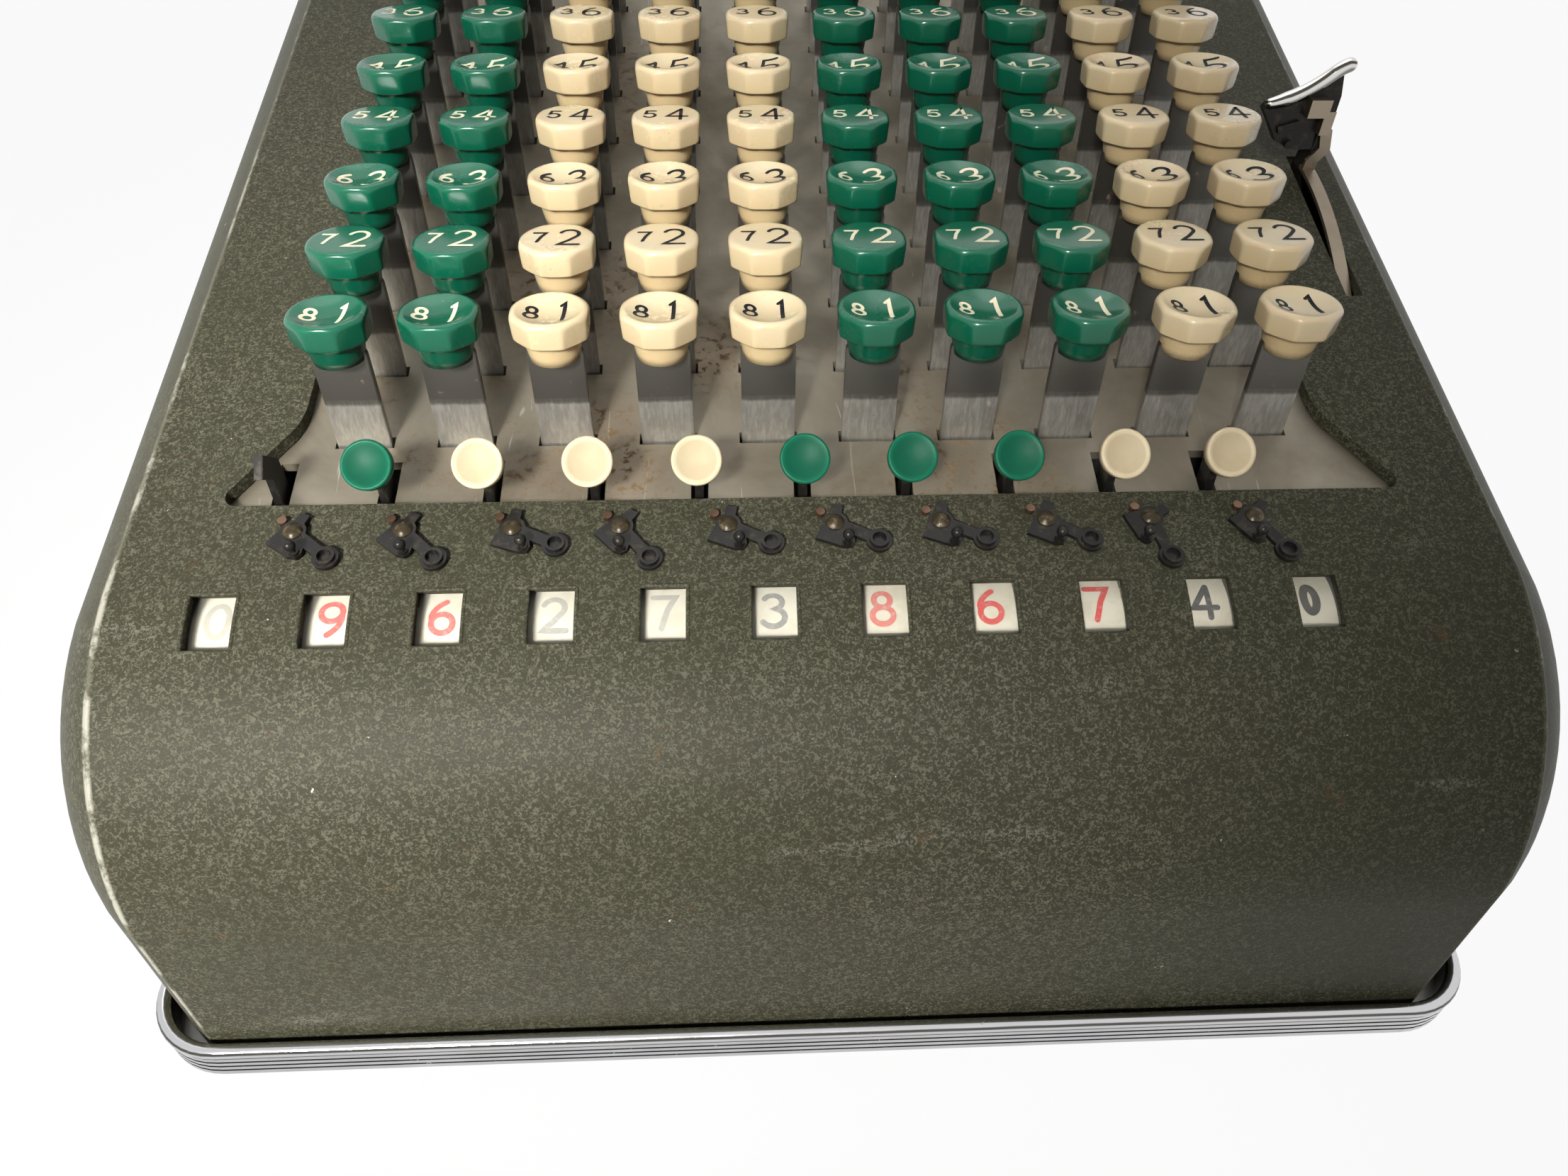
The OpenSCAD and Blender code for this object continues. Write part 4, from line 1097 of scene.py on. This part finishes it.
def makeWindowEdges():
    # a window's outline with rounded corners, its straight sides cut into short pieces
    w, h, corner = *(v / 2 for v in windowEdge["size"]), windowEdge["corner"]
    bm = bmesh.new()
    outline = []
    for sx, sy, start in ((1, 1, 0), (-1, 1, 90), (-1, -1, 180), (1, -1, 270)):
        for i in range(4):
            a = math.radians(start + 30 * i)
            outline.append(bm.verts.new((sx * (w - corner) + corner * math.cos(a),
                                         sy * (h - corner) + corner * math.sin(a), 0)))
    for v, after in zip(outline, outline[1:] + outline[:1]):
        bm.edges.new((v, after))
    sides = [e for e in bm.edges if e.calc_length() > windowEdge["longSide"]]
    bmesh.ops.subdivide_edges(bm, edges=sides, cuts=windowEdge["sideCuts"])
    flat = meshPiece("windowOutline", bm)
    radius = windowEdge["noseRadius"]
    piece = runTree(flat, makeBeadTree(), {
        "Count": len(wheels), "Pitch": layout["pitch"], "Bead": windowEdge["bead"],
        "Radius": radius - windowEdge["sunk"], "Lean": layout["windowLean"]}, "windowEdges")
    deckFront = windowEdge["noseY"] - radius * math.sin(math.atan(rise))
    deckZ = layout["deckZ"] + (deckFront - layout["rowOneY"]) * rise
    noseZ = deckZ - radius * math.cos(math.atan(rise))
    moveMesh(piece, columnX(0), windowEdge["noseY"], noseZ)
    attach(piece, "machine")


makeWindowEdges()
print("window edges rounded")


# Printed digits around each numeral wheel, one of them in its window
wheelPrint = {
    "shown": (0, 9, 6, 2, 7, 3, 8, 6, 7, 4, 0),
    "ink": ("inkFaint", "inkRed", "inkRed", "inkPale", "inkPale", "inkGrey",
            "inkWorn", "inkRed", "inkRed", "inkDark", "inkBlack"),
    "height": 5.95 * mm,
    "slim": 1.15,
    "pen": 1.05 * mm,
    "bold": {"wheel": 11, "height": 4.7 * mm, "slim": 0.85, "pen": 1.45 * mm},
    "lift": 0.04 * mm,
    "sunk": math.radians(4.7),   # the shown digit stands below the window's middle
}


def makeWrapTree(finish):
    # bends a flat strip of digits about the wheel's shaft
    group, t, given = newGroup("wrapOnWheel", [
        ("Radius", "NodeSocketFloat"), ("Lean", "NodeSocketFloat"), ("Lift", "NodeSocketFloat")])
    x, y, z = t.axes(t.add("GeometryNodeInputPosition")[0])
    place = t.roundAxis(x, given["Lean"] - y / given["Radius"], given["Radius"] + given["Lift"])
    moved = t.add("GeometryNodeSetPosition", {}, {0: given["Geometry"], "Position": place[0]})
    closeGroup(t, moved[0], finish)
    return group


wrapTrees = {name: makeWrapTree(finishes[name]) for name in set(wheelPrint["ink"])}


def makeWheelPrint(k):
    low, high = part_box(f"numeral_wheel_{k}")
    radius = (high.z - low.z) / 2
    count = len(digitStrokes)
    step = 2 * math.pi * radius / count
    shown = wheelPrint["shown"][k - 1]
    bm = bmesh.new()
    look = wheelPrint["bold"] if k == wheelPrint["bold"]["wheel"] else wheelPrint
    for digit in digitStrokes:
        turn = (digit - shown + count // 2) % count - count // 2
        drawDigit(bm, digit, (0.0, turn * step), look["height"], look["pen"], look["slim"])
    ink = wheelPrint["ink"][k - 1]
    flat = flatPiece(f"flatWheel{k}", bm)
    piece = runTree(flat, wrapTrees[ink], {
        "Radius": radius, "Lean": layout["windowLean"] - wheelPrint["sunk"],
        "Lift": wheelPrint["lift"]}, f"wheelPrint{k}")
    moveMesh(piece, columnX(k - 1), (low.y + high.y) / 2, (low.z + high.z) / 2)
    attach(piece, f"numeral_wheel_{k}")


for k in wheels:
    makeWheelPrint(k)
print("wheel print wrapped on", len(wheels), "wheels")


# Floor, light and camera
room = {
    "floorReach": 3.0,
    "floorTone": (0.38, 0.38, 0.38),
    "floorGlow": 1.06,
    "floorSeen": 0.88,        # share of the glow in sight; the rest keeps the shadow
    "skyLight": 0.10,
    "white": (1.0, 1.0, 1.0),
    "cameraAt": (-14.39 * mm, -279.75 * mm, 222.58 * mm),
    "cameraTurn": (48.570, -0.546, -2.297),   # degrees
    "lens": 24.117,
    "sensor": 36.0,
    "clip": (0.01, 20.0),
}
lamps = {
    "mainSoftbox": {"at": (-0.42, -1.05, 0.70), "aim": (-0.15, -0.16, 0.10), "size": (0.32, 0.24),
                    "power": 0.9, "beam": 20, "tone": (1.0, 0.985, 0.95)},
    "topSoftbox": {"at": (-0.12, 0.25, 1.1), "aim": (0.0, -0.04, 0.12), "size": (0.9, 0.6),
                   "power": 3.0, "beam": 180, "tone": (1.0, 1.0, 1.0)},
}


def makeFloor():
    reach = room["floorReach"]
    corners = [(-reach, -reach, 0), (reach, -reach, 0), (reach, reach, 0), (-reach, reach, 0)]
    mesh = bpy.data.meshes.new("floor")
    mesh.from_pydata(corners, [], [(0, 1, 2, 3)])
    floor = inScene(bpy.data.objects.new("floor", mesh))
    f = Finish("floorPaper", {"Base Color": room["floorTone"], "Roughness": 0.9})
    share = f.seenDirectly() * room["floorSeen"]
    glow = f.add("ShaderNodeEmission", {}, {"Color": room["white"], "Strength": room["floorGlow"]})
    both = f.add("ShaderNodeMixShader", {}, {0: share, 1: f.shader["BSDF"], 2: glow[0]})
    f.group.links.new(both[0].socket, f.output.node.inputs["Surface"])
    mesh.materials.append(f.material)


def makeSky():
    world = bpy.data.worlds.new("sky")
    bpy.context.scene.world = world
    world.use_nodes = True
    world.node_tree.nodes.clear()
    t = Tree(world.node_tree)
    strength = t.seenDirectly() * (1.0 - room["skyLight"]) + room["skyLight"]
    glow = t.add("ShaderNodeBackground", {}, {"Color": room["white"], "Strength": strength})
    t.add("ShaderNodeOutputWorld", {}, {0: glow[0]})


def makeLamp(name, look):
    lamp = bpy.data.lights.new(name, "AREA")
    lamp.shape, (lamp.size, lamp.size_y) = "RECTANGLE", look["size"]
    lamp.energy, lamp.color, lamp.spread = look["power"], look["tone"], math.radians(look["beam"])
    holder = inScene(bpy.data.objects.new(name, lamp))
    holder.location = look["at"]
    way = Vector(look["aim"]) - Vector(look["at"])
    holder.rotation_euler = way.to_track_quat("-Z", "Y").to_euler()


makeFloor()
makeSky()
for name, look in lamps.items():
    makeLamp(name, look)

lens = bpy.data.cameras.new("camera")
lens.lens, lens.sensor_width, lens.sensor_fit = room["lens"], room["sensor"], "HORIZONTAL"
lens.clip_start, lens.clip_end = room["clip"]
camera = inScene(bpy.data.objects.new("camera", lens))
camera.location = room["cameraAt"]
camera.rotation_euler = Euler([math.radians(v) for v in room["cameraTurn"]], "XYZ")
bpy.context.scene.camera = camera
bpy.context.scene.view_settings.view_transform = "Standard"
print("room, light and camera ready")
